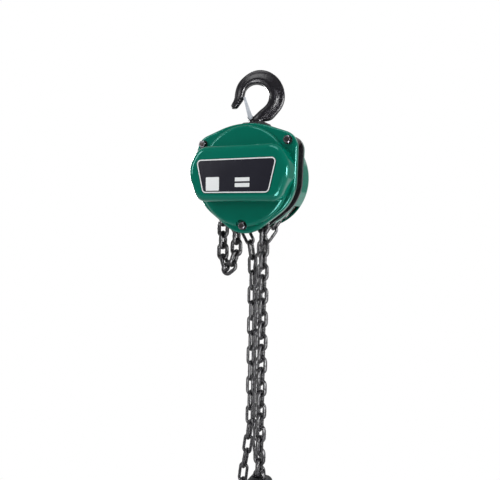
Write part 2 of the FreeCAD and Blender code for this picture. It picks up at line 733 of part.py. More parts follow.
def disc_gear(side):
    """A large gear with its own pinion, running beside the main shaft."""
    toward = math.atan2(-d.gear_drop, side * GEAR_SIDE)
    x = side * GEAR_SIDE
    z = -d.gear_drop
    large = mate_phase(toward, d.drive_teeth, DRIVE_PHASE, d.disc_teeth)
    small = mate_phase(toward, d.load_teeth, LOAD_PHASE, d.small_teeth)
    wheel = prism(gear_outline(round(d.disc_teeth), FIRST_MODULE, -SHIFT, large),
                  -DISC_FRONT, -DISC_BACK)
    pinion = prism(gear_outline(round(d.small_teeth), SECOND_MODULE, 0, small),
                   -DISC_BACK, -PLATE_OUT - 5)
    front = Part.makeCylinder(d.gear_journal, 5.5, V(0, -DISC_FRONT - 5.5, 0), ACROSS)
    rear = Part.makeCylinder(d.gear_journal, d.plate_thick + 4.5, V(0, -PLATE_OUT - 5, 0), ACROSS)
    made = wheel.fuse([pinion, front, rear])
    made.translate(V(x, 0, z))
    name = "left" if side < 0 else "right"
    piece(f"{name}_disc_gear", shaped(f"{name}_disc_gear", made))


def gear_bushes():
    """Plain bushes, three in the cover and two in the front plate."""
    outside = "gear_journal + bush_wall"
    inside = "gear_journal + fit"
    gears = ((-GEAR_SIDE, -d.gear_drop), (GEAR_SIDE, -d.gear_drop))
    in_cover = [ring(f"front_bush_{place}", outside, inside, "5.2", x, -BULGE_FACE + d.cover_wall, z)
                for place, (x, z) in enumerate(gears + ((0, 0),))]
    piece("front_gear_bushes", group("front_gear_bushes", in_cover))
    in_plate = [ring(f"rear_bush_{place}", outside, inside, "plate_thick + 2.5", x, -PLATE_OUT - 2.5, z)
                for place, (x, z) in enumerate(gears)]
    piece("rear_gear_bushes", group("rear_gear_bushes", in_plate))


splined_gear()
disc_gear(-1)
disc_gear(1)
gear_bushes()

# ---------------------------------------------------------------- drive shaft and brake

HUB_FRONT = PLATE_OUT + 1.5
LINING_ONE = HUB_FRONT + d.hub_thick
RATCHET_FRONT = LINING_ONE + d.lining_thick + 0.1
LINING_TWO = RATCHET_FRONT + d.ratchet_thick + 0.1
WEB_FRONT = LINING_TWO + d.lining_thick
WEB_REAR = WEB_FRONT + 6
WHEEL_REAR = d.wheel_plane + d.wheel_width / 2
THREAD_RADIUS = d.shaft_radius + 1


def drive_shaft():
    outline = gear_outline(round(d.drive_teeth), FIRST_MODULE, SHIFT, DRIVE_PHASE)
    pinion = prism(outline, -DISC_FRONT - 0.4, -DISC_BACK + 0.6)
    nose = Part.makeCylinder(d.gear_journal, 5.2, V(0, -DISC_FRONT - 5.6, 0), ACROSS)
    length = HUB_FRONT + DISC_BACK - 0.6
    middle = Part.makeCylinder(d.shaft_radius, length, V(0, -DISC_BACK + 0.6, 0), ACROSS)
    thread = Part.makeCylinder(THREAD_RADIUS, WHEEL_REAR - HUB_FRONT, V(0, HUB_FRONT, 0), ACROSS)
    tail = Part.makeCylinder(d.shaft_radius - 1, 8, V(0, WHEEL_REAR, 0), ACROSS)
    cotter_hole = Part.makeCylinder(1.1, 30, V(-15, WHEEL_REAR + 6.5, 0), V(1, 0, 0))
    made = pinion.fuse([nose, middle, thread, tail]).cut(cotter_hole)
    piece("drive_shaft", shaped("drive_shaft", made))


def brake():
    flange = rod("hub_flange", "ratchet_radius - brake_in", "hub_thick", 0, HUB_FRONT, 0)
    sleeve_length = LINING_TWO + d.lining_thick - HUB_FRONT
    sleeve = rod("hub_sleeve", "sleeve_radius", f"{sleeve_length}", 0, HUB_FRONT, 0)
    bore = rod("hub_bore", "shaft_radius + 1", "40", 0, HUB_FRONT - 5, 0)
    piece("brake_hub", cut("brake_hub", fuse("hub_blank", [flange, sleeve]), [bore]))
    discs = [ring("friction_disc", "ratchet_radius - brake_in", "sleeve_radius", "lining_thick", 0, start, 0)
             for start in (LINING_ONE, LINING_TWO)]
    piece("friction_discs", group("friction_discs", discs))


def ratchet_disc():
    """Saw teeth that let the shaft turn to hoist and catch the pawls the other way."""
    teeth = round(d.ratchet_teeth)
    root = d.ratchet_radius - d.ratchet_depth
    corners = []
    for index in range(teeth):
        angle = 2 * math.pi * index / teeth
        for radius in (root, d.ratchet_radius):
            corners.append(V(radius * math.cos(angle), radius * math.sin(angle), 0))
    edges = [Part.LineSegment(a, b) for a, b in zip(corners, corners[1:] + corners[:1])]
    back = RATCHET_FRONT + d.ratchet_thick
    disc = prism(edges, RATCHET_FRONT, back)
    disc = disc.cut(through(d.sleeve_radius + d.fit, V(0, 0, 0)))
    piece("ratchet_disc", shaped("ratchet_disc", disc))


def pawl(number, turn):
    """A pawl on its pin, its nose against a tooth, and the spring that returns it."""
    pin_x = PAWL_ORBIT * math.cos(math.radians(60))
    pin_z = PAWL_ORBIT * math.sin(math.radians(60))
    root = d.ratchet_radius - d.ratchet_depth
    upper = (1.75, d.ratchet_radius + 1.5, 1.5)
    lower = (1.05, root + 1.8, 0.8)
    start = RATCHET_FRONT + 0.2
    end = RATCHET_FRONT + d.ratchet_thick - 0.2
    arm = prism(belt([upper, (pin_x, pin_z, 5)]), start, end)
    nose = prism(belt([upper, lower, (4, d.ratchet_radius + 1, 1.2)]), start, end)
    made = arm.fuse(nose).cut(through(d.pawl_pin_radius + d.fit, V(pin_x, 0, pin_z)))
    made.rotate(V(0, 0, 0), ACROSS, turn)
    piece(f"{number}_pawl", shaped(f"{number}_pawl", made))
    x, z = PAWLS[0] if turn == 0 else PAWLS[1]
    coil = coil_spring(d.pawl_pin_radius + 0.8, 0.8, RATCHET_FRONT - PLATE_OUT - 1.2, 5)
    coil.translate(V(x, PLATE_OUT + 0.6, z))
    piece(f"{number}_pawl_spring", shaped(f"{number}_pawl_spring", coil))


def pawl_pins():
    length = f"{WEB_FRONT - 0.6 - PLATE_IN}"
    pins = [rod("pawl_pin", "pawl_pin_radius", length, x, PLATE_IN, z) for x, z in PAWLS]
    piece("pawl_pins", group("pawl_pins", pins))


def coil_spring(radius, wire, length, turns):
    """A close coil along Y from the origin."""
    helix = Part.makeHelix((length - wire) / turns, length - wire, radius)
    section = Part.Wire(Part.makeCircle(wire / 2, V(radius, 0, 0), ACROSS))
    coil = Part.Wire(helix.Edges).makePipeShell([section], True, True)
    coil.translate(V(0, 0, wire / 2))
    coil.rotate(V(0, 0, 0), V(1, 0, 0), -90)
    return coil


def hand_wheel():
    """A dished chain wheel: its web presses the brake, its rim has a bed for every second link."""
    half = d.wheel_width / 2
    rim = WHEEL_LINE + d.wheel_flange
    front = d.wheel_plane - half
    rear = d.wheel_plane + half
    blank = turned([(THREAD_RADIUS, WEB_FRONT), (WHEEL_INSIDE, WEB_FRONT), (WHEEL_INSIDE, front),
                    (rim - 4, front), (rim, front + 3), (rim, rear - 3), (rim - 4, rear),
                    (WHEEL_INSIDE, rear), (WHEEL_INSIDE, WEB_REAR), (22, WEB_REAR), (19, rear),
                    (THREAD_RADIUS, rear)])
    blank.translate(V(0, -d.wheel_plane, 0))
    wheel = chain_wheel(blank, WHEEL_LINE, d.hand_wire, d.hand_pitch, d.hand_width,
                        round(d.wheel_pockets), 0.6, 0.6)
    wheel.translate(V(0, d.wheel_plane, 0))
    piece("hand_wheel", shaped("hand_wheel", wheel))
    nut = hex_nut("shaft_nut", "nut_flat + 8", "rear_nut_high", "shaft_radius - 1",
                  facing(0, WHEEL_REAR, 0, "rear"))
    piece("shaft_nut", nut)
    cotter = post("cotter", "1", "22", 0, 0, -11)
    cotter.Placement = FreeCAD.Placement(V(-11, WHEEL_REAR + 6.5, 0), FreeCAD.Rotation(ACROSS, 90))
    piece("shaft_cotter", cotter)


drive_shaft()
brake()
ratchet_disc()
pawl("upper", 0)
pawl("lower", 180)
pawl_pins()
hand_wheel()

# ---------------------------------------------------------------- chain guides


def guides():
    for name, (x, z) in zip(("left", "right"), ROLLERS):
        half = PLATE_IN - 0.3
        groove = d.load_wire / 2 + 1
        waist = d.guide_radius - 2
        bore = d.guide_pin_radius + d.fit
        roller = turned([(bore, -half), (d.guide_radius, -half), (d.guide_radius, -groove - 1.5),
                         (waist, -groove), (waist, groove), (d.guide_radius, groove + 1.5),
                         (d.guide_radius, half), (bore, half)])
        roller.translate(V(x, 0, z))
        piece(f"{name}_guide_roller", shaped(f"{name}_guide_roller", roller))
    pins = [rod("guide_pin", "guide_pin_radius", "plate_gap + 2 * plate_thick", x, -PLATE_OUT, z)
            for x, z in ROLLERS]
    piece("guide_roller_pins", group("guide_roller_pins", pins))
    anchor = rod("chain_anchor_pin", "anchor_pin_radius", "plate_gap + 2 * plate_thick",
                 ANCHOR[0], -PLATE_OUT, ANCHOR[1])
    piece("chain_anchor_pin", anchor)


def chain_stripper():
    """A finger in the sheave's groove that lifts the chain out, on studs in both plates."""
    groove = upright_radius(SHEAVE_LINE, d.load_wire, d.load_pitch) - d.load_width / 2
    tip = -(groove + d.play)
    rim = SHEAVE_LINE + d.sheave_flange
    finger = prism(belt([(-5, -d.stripper_drop + 4, 2), (0, -d.stripper_drop, 6),
                         (5, -d.stripper_drop + 4, 2), (2.5, tip - 1, 1), (-2.5, tip - 1, 1)]), -2.7, 2.7)
    top = -rim - d.play
    heel = prism(belt([(-5, top - 4, 3), (-5, -d.stripper_drop, 5), (5, -d.stripper_drop, 5),
                       (5, top - 4, 3)]), -PLATE_IN, PLATE_IN)
    stud = Part.makeCylinder(d.guide_pin_radius, 2 * PLATE_OUT, V(0, -PLATE_OUT, -d.stripper_drop), ACROSS)
    piece("chain_stripper", shaped("chain_stripper", finger.fuse([heel, stud])))


guides()
chain_stripper()

# ---------------------------------------------------------------- suspension

SHOULDER = d.axis_drop - YOKE_TOP - 0.3
BOWL = V(0, 0, -d.bowl_radius)
LATCH_PIN = V(-d.latch_pin_side, 0, d.bowl_radius + d.latch_pin_rise - SHOULDER) + BOWL
LATCH_TIP = V(-d.bowl_radius + 0.8, 0, -4.5) + BOWL
LATCH_INSIDE = d.neck_radius + 0.3


def yoke():
    """The forged block that hangs on the hook nut and carries the side plates on its pin."""
    half = PLATE_IN - 0.3
    x = d.hook_offset
    top = YOKE_TOP
    corner = d.yoke_corner
    side = d.yoke_half - corner
    outline = belt([(x, PIN_HEIGHT, d.yoke_eye), (x + side, top - corner, corner),
                    (x - side, top - corner, corner)])
    block = body("yoke_block")
    pad(block, "yoke_pad", outline + hole(x, PIN_HEIGHT, d.pin_radius + d.fit), half,
        "plate_gap - 0.6", True)
    roof = top - d.yoke_wall
    floor = roof - d.hook_nut_high - 2
    left = x - d.window_half + 2
    right = x + d.window_half - 2
    window = [(left, floor + 2, 2), (right, floor + 2, 2), (right, roof - 2, 2), (left, roof - 2, 2)]
    pocket(block, "yoke_window", belt(window), half, "plate_gap", True)
    bore = post("yoke_bore", "shank_radius + fit", "yoke_wall + 2", x, 0, roof - 1)
    piece("yoke", cut("yoke", block, [bore]))
    piece("suspension_pin", rod("suspension_pin", "pin_radius", "plate_gap + 2 * plate_thick",
                                x, -PLATE_OUT, PIN_HEIGHT))


def hook_section(inner, outer, inside, outside, squareness):
    """A closed curve across the hook, from its bowl side to its back."""
    points = []
    for step in range(16):
        angle = 2 * math.pi * step / 16
        along = (1 - math.cos(angle)) / 2
        blend = min(max((along - 0.3) / 0.4, 0), 1)
        width = inside + (outside - inside) * blend
        rise = math.copysign(abs(math.sin(angle)) ** squareness, math.sin(angle))
        points.append(inner + (outer - inner) * along + V(0, width * rise, 0))
    curve = Part.BSplineCurve()
    curve.interpolate(Points=points, PeriodicFlag=True)
    return Part.Wire(curve.toShape())


def around(angle, radius):
    turn = math.radians(angle)
    return V(radius * math.cos(turn), 0, radius * math.sin(turn))


def hook():
    """A forged hook, its bowl up, hanging from its seat at the origin; its throat is to the left."""
    bowl = d.bowl_radius
    neck = d.neck_radius
    shoulder = bowl - SHOULDER
    bead = d.hook_bead
    web = d.hook_web
    sections = [
        (V(-neck, 0, shoulder), V(neck, 0, shoulder), neck, neck, 1.0),
        (V(-neck + 0.5, 0, shoulder + 5), V(neck + 2.5, 0, shoulder + 2.5), neck, neck * 0.9, 0.9),
        (V(-4.5, 0, -bowl - 11), V(20, 0, -bowl - 17), bead + 0.5, web + 1.5, 0.7),
        (V(4, 0, -bowl - 3), V(29.5, 0, -bowl - 9.5), bead, web + 0.5, 0.6),
        (around(-44, bowl + 0.2), around(-24, bowl + 23), bead, web, 0.6),
        (around(-15, bowl), around(-8, bowl + 24), bead, web, 0.6),
        (around(20, bowl), around(20, bowl + 24), bead, web, 0.6),
        (around(55, bowl), around(55, bowl + 23.3), bead, web, 0.6),
        (around(90, bowl), around(90, bowl + 20.8), bead, web, 0.6),
        (around(125, bowl), around(125, bowl + 16.6), bead, web, 0.6),
        (around(155, bowl), around(155, bowl + 15.2), bead, web, 0.6),
        (around(180, bowl), around(180, bowl + 15), bead - 0.3, web, 0.65),
        (V(-bowl - 1.7, 0, -5), V(-bowl - 16, 0, -5), bead - 0.8, web, 0.7),
        (V(-bowl - 4.5, 0, -9.5), V(-bowl - 19, 0, -11), bead - 1.5, web, 0.8),
        (V(-bowl - 8, 0, -14.5), V(-bowl - 20, 0, -15), bead - 2.5, web - 0.5, 0.9),
        (V(-bowl - 12, 0, -18), V(-bowl - 18.5, 0, -18.3), bead - 5.5, web - 3, 1.0),
    ]
    wires = [hook_section(inner + BOWL, outer + BOWL, inside, outside, square)
             for inner, outer, inside, outside, square in sections]
    forged = Part.makeLoft(wires, True, False)
    length = d.yoke_wall + d.hook_nut_high + 1.1
    shank = Part.makeCylinder(d.shank_radius, length, V(0, 0, -SHOULDER - length))
    lug = Part.makeCylinder(d.latch_lug, 2 * neck - 1, LATCH_PIN - V(0, neck - 0.5, 0), ACROSS)
    slot = Part.makeCylinder(d.latch_lug + 0.2, d.spring_gap, LATCH_PIN - V(0, d.spring_gap / 2, 0), ACROSS)
    cotter = Part.makeCylinder(1.5, 2 * neck, V(-neck, 0, -SHOULDER - d.yoke_wall - 6), V(1, 0, 0))
    return forged.fuse([shank, lug]).cut([through(d.latch_pin_radius, LATCH_PIN), slot, cotter])


def hook_latch():
    """A sprung sheet latch, channel shaped, from the neck to the inside of the tip."""
    wide = LATCH_INSIDE + d.latch_sheet
    along = (LATCH_TIP - LATCH_PIN).normalize()
    inward = V(along.z, 0, -along.x) * d.latch_sheet
    ends = [(LATCH_PIN, d.latch_half), (LATCH_TIP, 1.6)]
    outside = prism(belt([(point.x, point.z, radius) for point, radius in ends]), -wide, wide)
    shifted = [(point.x + inward.x, point.z + inward.z, radius) for point, radius in ends]
    inside = prism(belt(shifted), -LATCH_INSIDE, LATCH_INSIDE)
    clear = Part.makeCylinder(14, 2 * LATCH_INSIDE, LATCH_PIN - V(0, LATCH_INSIDE, 0), ACROSS)
    return outside.cut([inside, clear, through(d.latch_pin_radius + d.fit, LATCH_PIN)])


def hook_set(name, place):
    """A hook with its nut and its latch; the nut's pin goes through the shank."""
    piece(f"{name}_hook", shaped(f"{name}_hook", hook()), place)
    nut_place = FreeCAD.Placement(V(0, 0, -SHOULDER - 0.3 - d.yoke_wall - 0.3 - d.hook_nut_high),
                                  FreeCAD.Rotation())
    nut = hex_nut(f"{name}_nut", "hook_nut_flat", "hook_nut_high", "shank_radius", nut_place)
    cross = Part.makeCylinder(1.5, d.hook_nut_flat, V(-d.hook_nut_flat / 2, 0, -SHOULDER - d.yoke_wall - 6),
                              V(1, 0, 0))
    cross_pin = shaped(f"{name}_nut_pin", cross)
    drilled = cut(f"{name}_drilled_nut", nut, [cross_pin])
    piece(f"{name}_hook_nut", drilled, place)
    piece(f"{name}_hook_latch", shaped(f"{name}_hook_latch", hook_latch()), place)
    wide = 2 * (LATCH_INSIDE + d.latch_sheet) + 1.6
    pin = rod(f"{name}_latch_rod", "latch_pin_radius", f"{wide}", LATCH_PIN.x, -wide / 2, LATCH_PIN.z)
    piece(f"{name}_latch_pin", group(f"{name}_latch_pins", [pin]), place)
    coil = coil_spring(3.2, 1.1, 8, 5)
    coil.translate(LATCH_PIN - V(0, 4, 0))
    piece(f"{name}_latch_spring", shaped(f"{name}_latch_spring", coil), place)


TOP_PLACE = FreeCAD.Placement(V(0, 0, 0), FreeCAD.Rotation(V(0, 0, 1), d.hook_yaw))
yoke()
hook_set("top", TOP_PLACE)

# ---------------------------------------------------------------- bottom block

HAND_STEP = d.hand_pitch - d.chain_gap
LOAD_SIDE = upright_radius(SHEAVE_LINE, d.load_wire, d.load_pitch)
LAST_LINK = -LOAD_STEP * d.load_links
BLOCK_BOTTOM = LAST_LINK - d.block_height
BLOCK_PLACE = FreeCAD.Placement(MACHINE.Base + V(LOAD_SIDE, 0, 0), FreeCAD.Rotation())


def bottom_block():
    """Two halves bolted round the last link, its pin and the nut of the bottom hook."""
    half = d.block_half
    top = LAST_LINK + 1.5
    wide = BLOCK_BOTTOM + d.block_bolt_rise
    outline = belt(mirrored([(-9, top - 9, 9), (-half + 9, wide, 9), (-half + 9, BLOCK_BOTTOM + 9, 9)]))
    link_room = d.load_width / 2 + d.play
    pin_height = LAST_LINK - d.load_pitch / 2 + d.anchor_pin_radius + d.chain_gap
    depth = d.block_depth / 2
    slot_foot = LAST_LINK - d.load_pitch / 2 - d.load_wire - 1
    slot = Part.makeBox(2 * link_room, d.load_wire + 2 * d.play, d.load_pitch + d.load_width,
                        V(-link_room, -d.load_wire / 2 - d.play, slot_foot))
    roof = BLOCK_BOTTOM + d.yoke_wall + d.hook_nut_high + 3.5
    nut_room = Part.makeCylinder(d.hook_nut_flat / math.sqrt(3) + d.play, roof - BLOCK_BOTTOM - d.yoke_wall,
                                 V(0, 0, BLOCK_BOTTOM + d.yoke_wall))
    bore = Part.makeCylinder(d.shank_radius + d.fit, 20, V(0, 0, BLOCK_BOTTOM - 5))
    pin_bore = through(d.anchor_pin_radius, V(0, 0, pin_height))
    bolts = [(side * (half - 5), wide) for side in (-1, 1)]
    tools = [slot, nut_room, bore, pin_bore]
    tools += [through(d.block_bolt_radius, V(x, 0, z)) for x, z in bolts]
    for name, start, end in (("front_block_half", -depth, 0), ("rear_block_half", 0, depth)):
        shell = prism(outline, start, end)
        rim = [edge for edge in shell.Edges
               if all(abs(abs(corner.Y) - depth) < 1e-6 for corner in edge.Vertexes)]
        piece(name, shaped(name, shell.makeFillet(3, rim).cut(tools)), BLOCK_PLACE)
    pin = rod("block_chain_rod", "anchor_pin_radius", "block_depth - 2", 0, -depth + 1, pin_height)
    piece("block_chain_pin", group("block_chain_pins", [pin]), BLOCK_PLACE)
    screws = []
    nuts = []
    for place, (x, z) in enumerate(bolts):
        shaft = rod(f"block_bolt_shaft_{place}", "block_bolt_radius", "block_depth + 6", x, -depth, z)
        head = rod(f"block_bolt_head_{place}", "block_bolt_radius + 2", "5", x, -depth - 5, z)
        screws.append(fuse(f"block_bolt_{place}", [shaft, head]))
        nuts.append(hex_nut(f"block_nut_{place}", "10", "5", "block_bolt_radius",
                            facing(x, depth, z, "rear")))
    piece("block_bolts", group("block_bolts", screws), BLOCK_PLACE)
    piece("block_nuts", group("block_nuts", nuts), BLOCK_PLACE)


bottom_block()
LOW_SEAT = V(0, 0, BLOCK_BOTTOM - 0.3 - SHOULDER)
hook_set("bottom", BLOCK_PLACE * FreeCAD.Placement(LOW_SEAT, FreeCAD.Rotation(ACROSS, 180)))

# ---------------------------------------------------------------- chains


def link(wire, pitch, width):
    """One link: long along X, wide along Z, at the origin."""
    bend = (width - wire) / 2
    half = (pitch + wire) / 2 - bend
    parts = []
    for side in (-1, 1):
        end = Part.makeTorus(bend, wire / 2, V(0, 0, 0), V(0, 0, 1), 0, 360, 180)
        end.rotate(V(0, 0, 0), V(0, 0, 1), -90 if side > 0 else 90)
        end.rotate(V(0, 0, 0), V(1, 0, 0), 90)
        end.translate(V(side * half, 0, 0))
        parts.append(end)
        parts.append(Part.makeCylinder(wire / 2, 2 * half, V(-half, 0, side * bend), V(1, 0, 0)))
    return parts[0].fuse(parts[1:])


def lay(shape, centre, along, upright):
    """Puts a link where its middle is at centre, upright or lying across."""
    forward = V(along).normalize()
    wide = forward.cross(ACROSS) if upright else ACROSS - forward * forward.dot(ACROSS)
    wide.normalize()
    thick = wide.cross(forward)
    laid = shape.copy()
    laid.Placement = FreeCAD.Placement(centre, FreeCAD.Rotation(forward, thick, wide, "XYZ"))
    return laid


def on_wheel(line, wire, pitch, first, last, step):
    """Links round a wheel: (middle, direction, upright), from one angle down to another."""
    laid = []
    for index in range(first, last - 1, -1):
        angle = math.radians(90 + index * step)
        upright = index % 2 == 0
        radius = (upright_radius if upright else lying_radius)(line, wire, pitch)
        out = V(math.cos(angle), 0, math.sin(angle))
        laid.append((out * radius, V(out.z, 0, -out.x), upright))
    return laid


def reach(wire, pitch, upright):
    """Between the end wires of its two lying neighbours, or of the lying link itself."""
    return pitch - wire - 2 * d.chain_gap if upright else pitch + wire


def hang(start, directions, wire, pitch, upright):
    """Links that follow the given directions from an end wire; returns them and the last end."""
    laid = []
    end = start
    for way in directions:
        onward = end + way * reach(wire, pitch, upright)
        laid.append(((end + onward) * 0.5, way, upright))
        end = onward
        upright = not upright
    return laid, end


def leaning(angle, side=0.0):
    """A unit direction that hangs down, leaning to +X by an angle and to +Y by another."""
    way = V(math.tan(math.radians(angle)), math.tan(math.radians(side)), -1)
    return way.normalize()


LOAD_LINK = link(d.load_wire, d.load_pitch, d.load_width)
HAND_LINK = link(d.hand_wire, d.hand_pitch, d.hand_width)
DOWN = V(0, 0, -1)


def load_chain():
    """From the bottom block up over the sheave and down the slack side to the anchor."""
    quarter = 180 / d.pockets
    laid = on_wheel(SHEAVE_LINE, d.load_wire, d.load_pitch, 2, -2, quarter)
    half = reach(d.load_wire, d.load_pitch, True) / 2
    run, end = hang(V(LOAD_SIDE, 0, -half), [DOWN] * round(d.load_links), d.load_wire,
                    d.load_pitch, False)
    laid += run
    run, falling = hang(V(-LOAD_SIDE, 0, -half), [DOWN] * round(d.slack_links), d.load_wire,
                        d.load_pitch, False)
    laid += run
    last = V(ANCHOR[0], 0, ANCHOR[1] + d.anchor_pin_radius + d.chain_gap - d.load_pitch / 2)
    rising = 2 * round((last.z - half - falling.z) / LOAD_STEP / 2) + 1
    foot = last + DOWN * (LOAD_STEP * (rising - 1) + half)
    ways = loop_ways(falling, foot, d.load_wire, d.load_pitch)
    run, end = hang(falling, ways, d.load_wire, d.load_pitch, False)
    laid += run
    laid += [(last + DOWN * LOAD_STEP * index, DOWN, index % 2 == 0) for index in range(rising)]
    links = [lay(LOAD_LINK, *item) for item in laid]
    piece("load_chain", shaped("load_chain", Part.makeCompound(links)))
    print("load chain", len(laid), "links, loop misses by", round((end - foot).Length, 3))


def loop_ways(start, finish, wire, pitch):
    """Three directions, down, across and up, that close a loop between two end wires."""
    gap = finish - start
    level = V(gap.x, gap.y, 0).normalize()

    def closing(lean, slope):
        ways = [level * math.sin(lean) + DOWN * math.cos(lean),
                level * math.cos(slope) + DOWN * math.sin(slope),
                level * math.sin(lean) - DOWN * math.cos(lean)]
        run, end = hang(start, ways, wire, pitch, False)
        return ways, (end - finish).dot(level), (end - finish).dot(DOWN)

    lean = slope = 0.1
    nudge = 1e-4
    for attempt in range(30):
        ways, wide, tall = closing(lean, slope)
        lean_wide, lean_tall = closing(lean + nudge, slope)[1:]
        slope_wide, slope_tall = closing(lean, slope + nudge)[1:]
        a, b = (lean_wide - wide) / nudge, (slope_wide - wide) / nudge
        c, e = (lean_tall - tall) / nudge, (slope_tall - tall) / nudge
        spread = a * e - b * c
        lean -= 0.7 * (e * wide - b * tall) / spread
        slope -= 0.7 * (a * tall - c * wide) / spread
    return ways


def hand_chain():
    """A closed loop over the hand wheel whose strands draw together as they hang."""
    step = 180 / d.wheel_pockets
    turns = round(0.6 * d.wheel_pockets)
    laid = on_wheel(WHEEL_LINE, d.hand_wire, d.hand_pitch, turns, -turns, step)
    ends = []
    for side, (middle, way, upright), ways in ((1, laid[-1], RIGHT_WAYS), (-1, laid[0], LEFT_WAYS)):
        start = middle + way * side * reach(d.hand_wire, d.hand_pitch, upright) / 2
        strand = [leaning(*lean) for lean in ways]
        strand += [DOWN] * round(d.hand_links)
        strand += [leaning(side * lean, side * tilt) for lean, tilt in SPREAD]
        run, end = hang(start, strand, d.hand_wire, d.hand_pitch, not upright)
        laid += run
        ends.append(end)
    ways = loop_ways(ends[0], ends[1], d.hand_wire, d.hand_pitch)
    run, end = hang(ends[0], ways, d.hand_wire, d.hand_pitch, False)
    laid += run
    plane = V(0, d.wheel_plane, 0)
    links = [lay(HAND_LINK, middle + plane, way, upright) for middle, way, upright in laid]
    piece("hand_chain", shaped("hand_chain", Part.makeCompound(links)))
    print("hand chain", len(laid), "links, loop misses by", round((end - ends[1]).Length, 3))


RIGHT_WAYS = [(-35, 0), (-35, 0), (-35, -3), (-20, -4), (-6, -3)]
LEFT_WAYS = [(29, 0), (29, 0), (29, 3), (8, 4), (0, 3)]
SPREAD = [(5, 0), (8, 0), (8, 3.5), (5, 3.5)]
load_chain()
hand_chain()

# ---------------------------------------------------------------- checks and export

doc.recompute()
for item in doc.Objects:
    if "Invalid" in item.State or "Error" in item.State:
        raise RuntimeError(f"{item.Name} failed: {item.State}")
os.makedirs("parts", exist_ok=True)
for made in pieces:
    shape = made.Shape
    if shape.isNull() or not shape.isValid():
        raise RuntimeError(f"{made.Label} has no valid shape")
    shape.exportStep(f"parts/{made.Label}.step")
    print(made.Label, len(shape.Solids), round(shape.Volume), len(shape.Faces))
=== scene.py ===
import bpy
import bmesh
import math
import numpy as np
from mathutils import Matrix, Quaternion, Vector


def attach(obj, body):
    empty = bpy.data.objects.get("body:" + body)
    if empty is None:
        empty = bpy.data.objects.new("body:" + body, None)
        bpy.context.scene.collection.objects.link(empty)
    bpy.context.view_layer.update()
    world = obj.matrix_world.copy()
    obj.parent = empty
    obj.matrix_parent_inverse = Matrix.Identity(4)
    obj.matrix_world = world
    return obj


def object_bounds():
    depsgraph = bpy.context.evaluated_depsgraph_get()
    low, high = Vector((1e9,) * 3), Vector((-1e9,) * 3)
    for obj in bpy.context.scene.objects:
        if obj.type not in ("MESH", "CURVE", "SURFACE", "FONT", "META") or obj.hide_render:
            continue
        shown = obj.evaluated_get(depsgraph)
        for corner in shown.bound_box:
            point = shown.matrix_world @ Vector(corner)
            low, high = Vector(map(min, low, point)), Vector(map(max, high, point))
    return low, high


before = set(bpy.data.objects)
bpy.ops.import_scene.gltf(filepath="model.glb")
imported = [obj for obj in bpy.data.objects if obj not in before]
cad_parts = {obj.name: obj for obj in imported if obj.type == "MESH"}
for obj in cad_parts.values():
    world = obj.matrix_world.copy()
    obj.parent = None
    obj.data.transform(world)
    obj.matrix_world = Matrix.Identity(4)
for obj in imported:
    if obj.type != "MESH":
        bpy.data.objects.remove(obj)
cad_low, cad_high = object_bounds()

# ---------------------------------------------------------------- the studio
# A white sweep of card behind and below the hoist, which hangs in the air in front of it.
# Soft boxes light it from the left, from above and from the right.
# White cards beside, below and behind it draw the highlights along its edges.

bpy.context.scene.view_settings.view_transform = "Standard"

shaft_height = -0.140
floor_gap = 0.03
floor_width = 8
wall_width = 4.2
wall_distance = 2.4
wall_height = 0.2
view_turn = math.radians(26.3)
upright = math.radians(90)
card_white = (0.8, 0.8, 0.8, 1)
card_glow = 1.0


def clear_selection():
    """Leaves nothing selected, in object mode."""
    if bpy.context.object and bpy.context.object.mode != "OBJECT":
        bpy.ops.object.mode_set(mode="OBJECT")
    bpy.ops.object.select_all(action="DESELECT")


def finish_piece(name, piece=None):
    """Names a finished piece and puts its place into its mesh."""
    piece = piece or bpy.context.object
    clear_selection()
    piece.select_set(True)
    bpy.context.view_layer.objects.active = piece
    bpy.ops.object.transform_apply(location=True, rotation=True, scale=True)
    piece.name = name
    piece.data.name = name
    return piece


def blank_material(name):
    """A node material with nothing but its output, and its node tree."""
    material = bpy.data.materials.new(name)
    material.use_nodes = True
    tree = material.node_tree
    tree.nodes.clear()
    tree.nodes.new("ShaderNodeOutputMaterial")
    return material, tree


def seen_bright(tree, plain, glow, *rays):
    """Finishes a card that shines at the named kinds of ray and is plain to all others."""
    bright = tree.nodes.new("ShaderNodeEmission")
    bright.inputs["Strength"].default_value = glow
    seen = tree.nodes.new("ShaderNodeLightPath")
    mask = seen.outputs[rays[0]]
    for ray in rays[1:]:
        either = tree.nodes.new("ShaderNodeMath")
        either.operation = "MAXIMUM"
        tree.links.new(mask, either.inputs[0])
        tree.links.new(seen.outputs[ray], either.inputs[1])
        mask = either.outputs[0]
    mix = tree.nodes.new("ShaderNodeMixShader")
    tree.links.new(mask, mix.inputs["Fac"])
    tree.links.new(plain.outputs[0], mix.inputs[1])
    tree.links.new(bright.outputs[0], mix.inputs[2])
    tree.links.new(mix.outputs[0], tree.nodes["Material Output"].inputs["Surface"])


def white_card(name):
    """White card that a lens and a shiny surface see as evenly white."""
    card, tree = blank_material(name)
    paper = tree.nodes.new("ShaderNodeBsdfDiffuse")
    paper.inputs["Color"].default_value = card_white
    seen_bright(tree, paper, card_glow, "Is Camera Ray", "Is Glossy Ray", "Is Transmission Ray")
    return card


clear_selection()
bpy.ops.mesh.primitive_plane_add(size=floor_width, location=(0, 0, cad_low.z - floor_gap))
studio_floor = finish_piece("studio_floor")
studio_floor.data.materials.append(white_card("floor_card"))
clear_selection()
wall_place = (-wall_distance * math.sin(view_turn), wall_distance * math.cos(view_turn),
              wall_height)
bpy.ops.mesh.primitive_plane_add(size=wall_width, location=wall_place,
                                 rotation=(upright, 0, view_turn))
studio_wall = finish_piece("studio_wall")
studio_wall.data.materials.append(white_card("wall_card"))


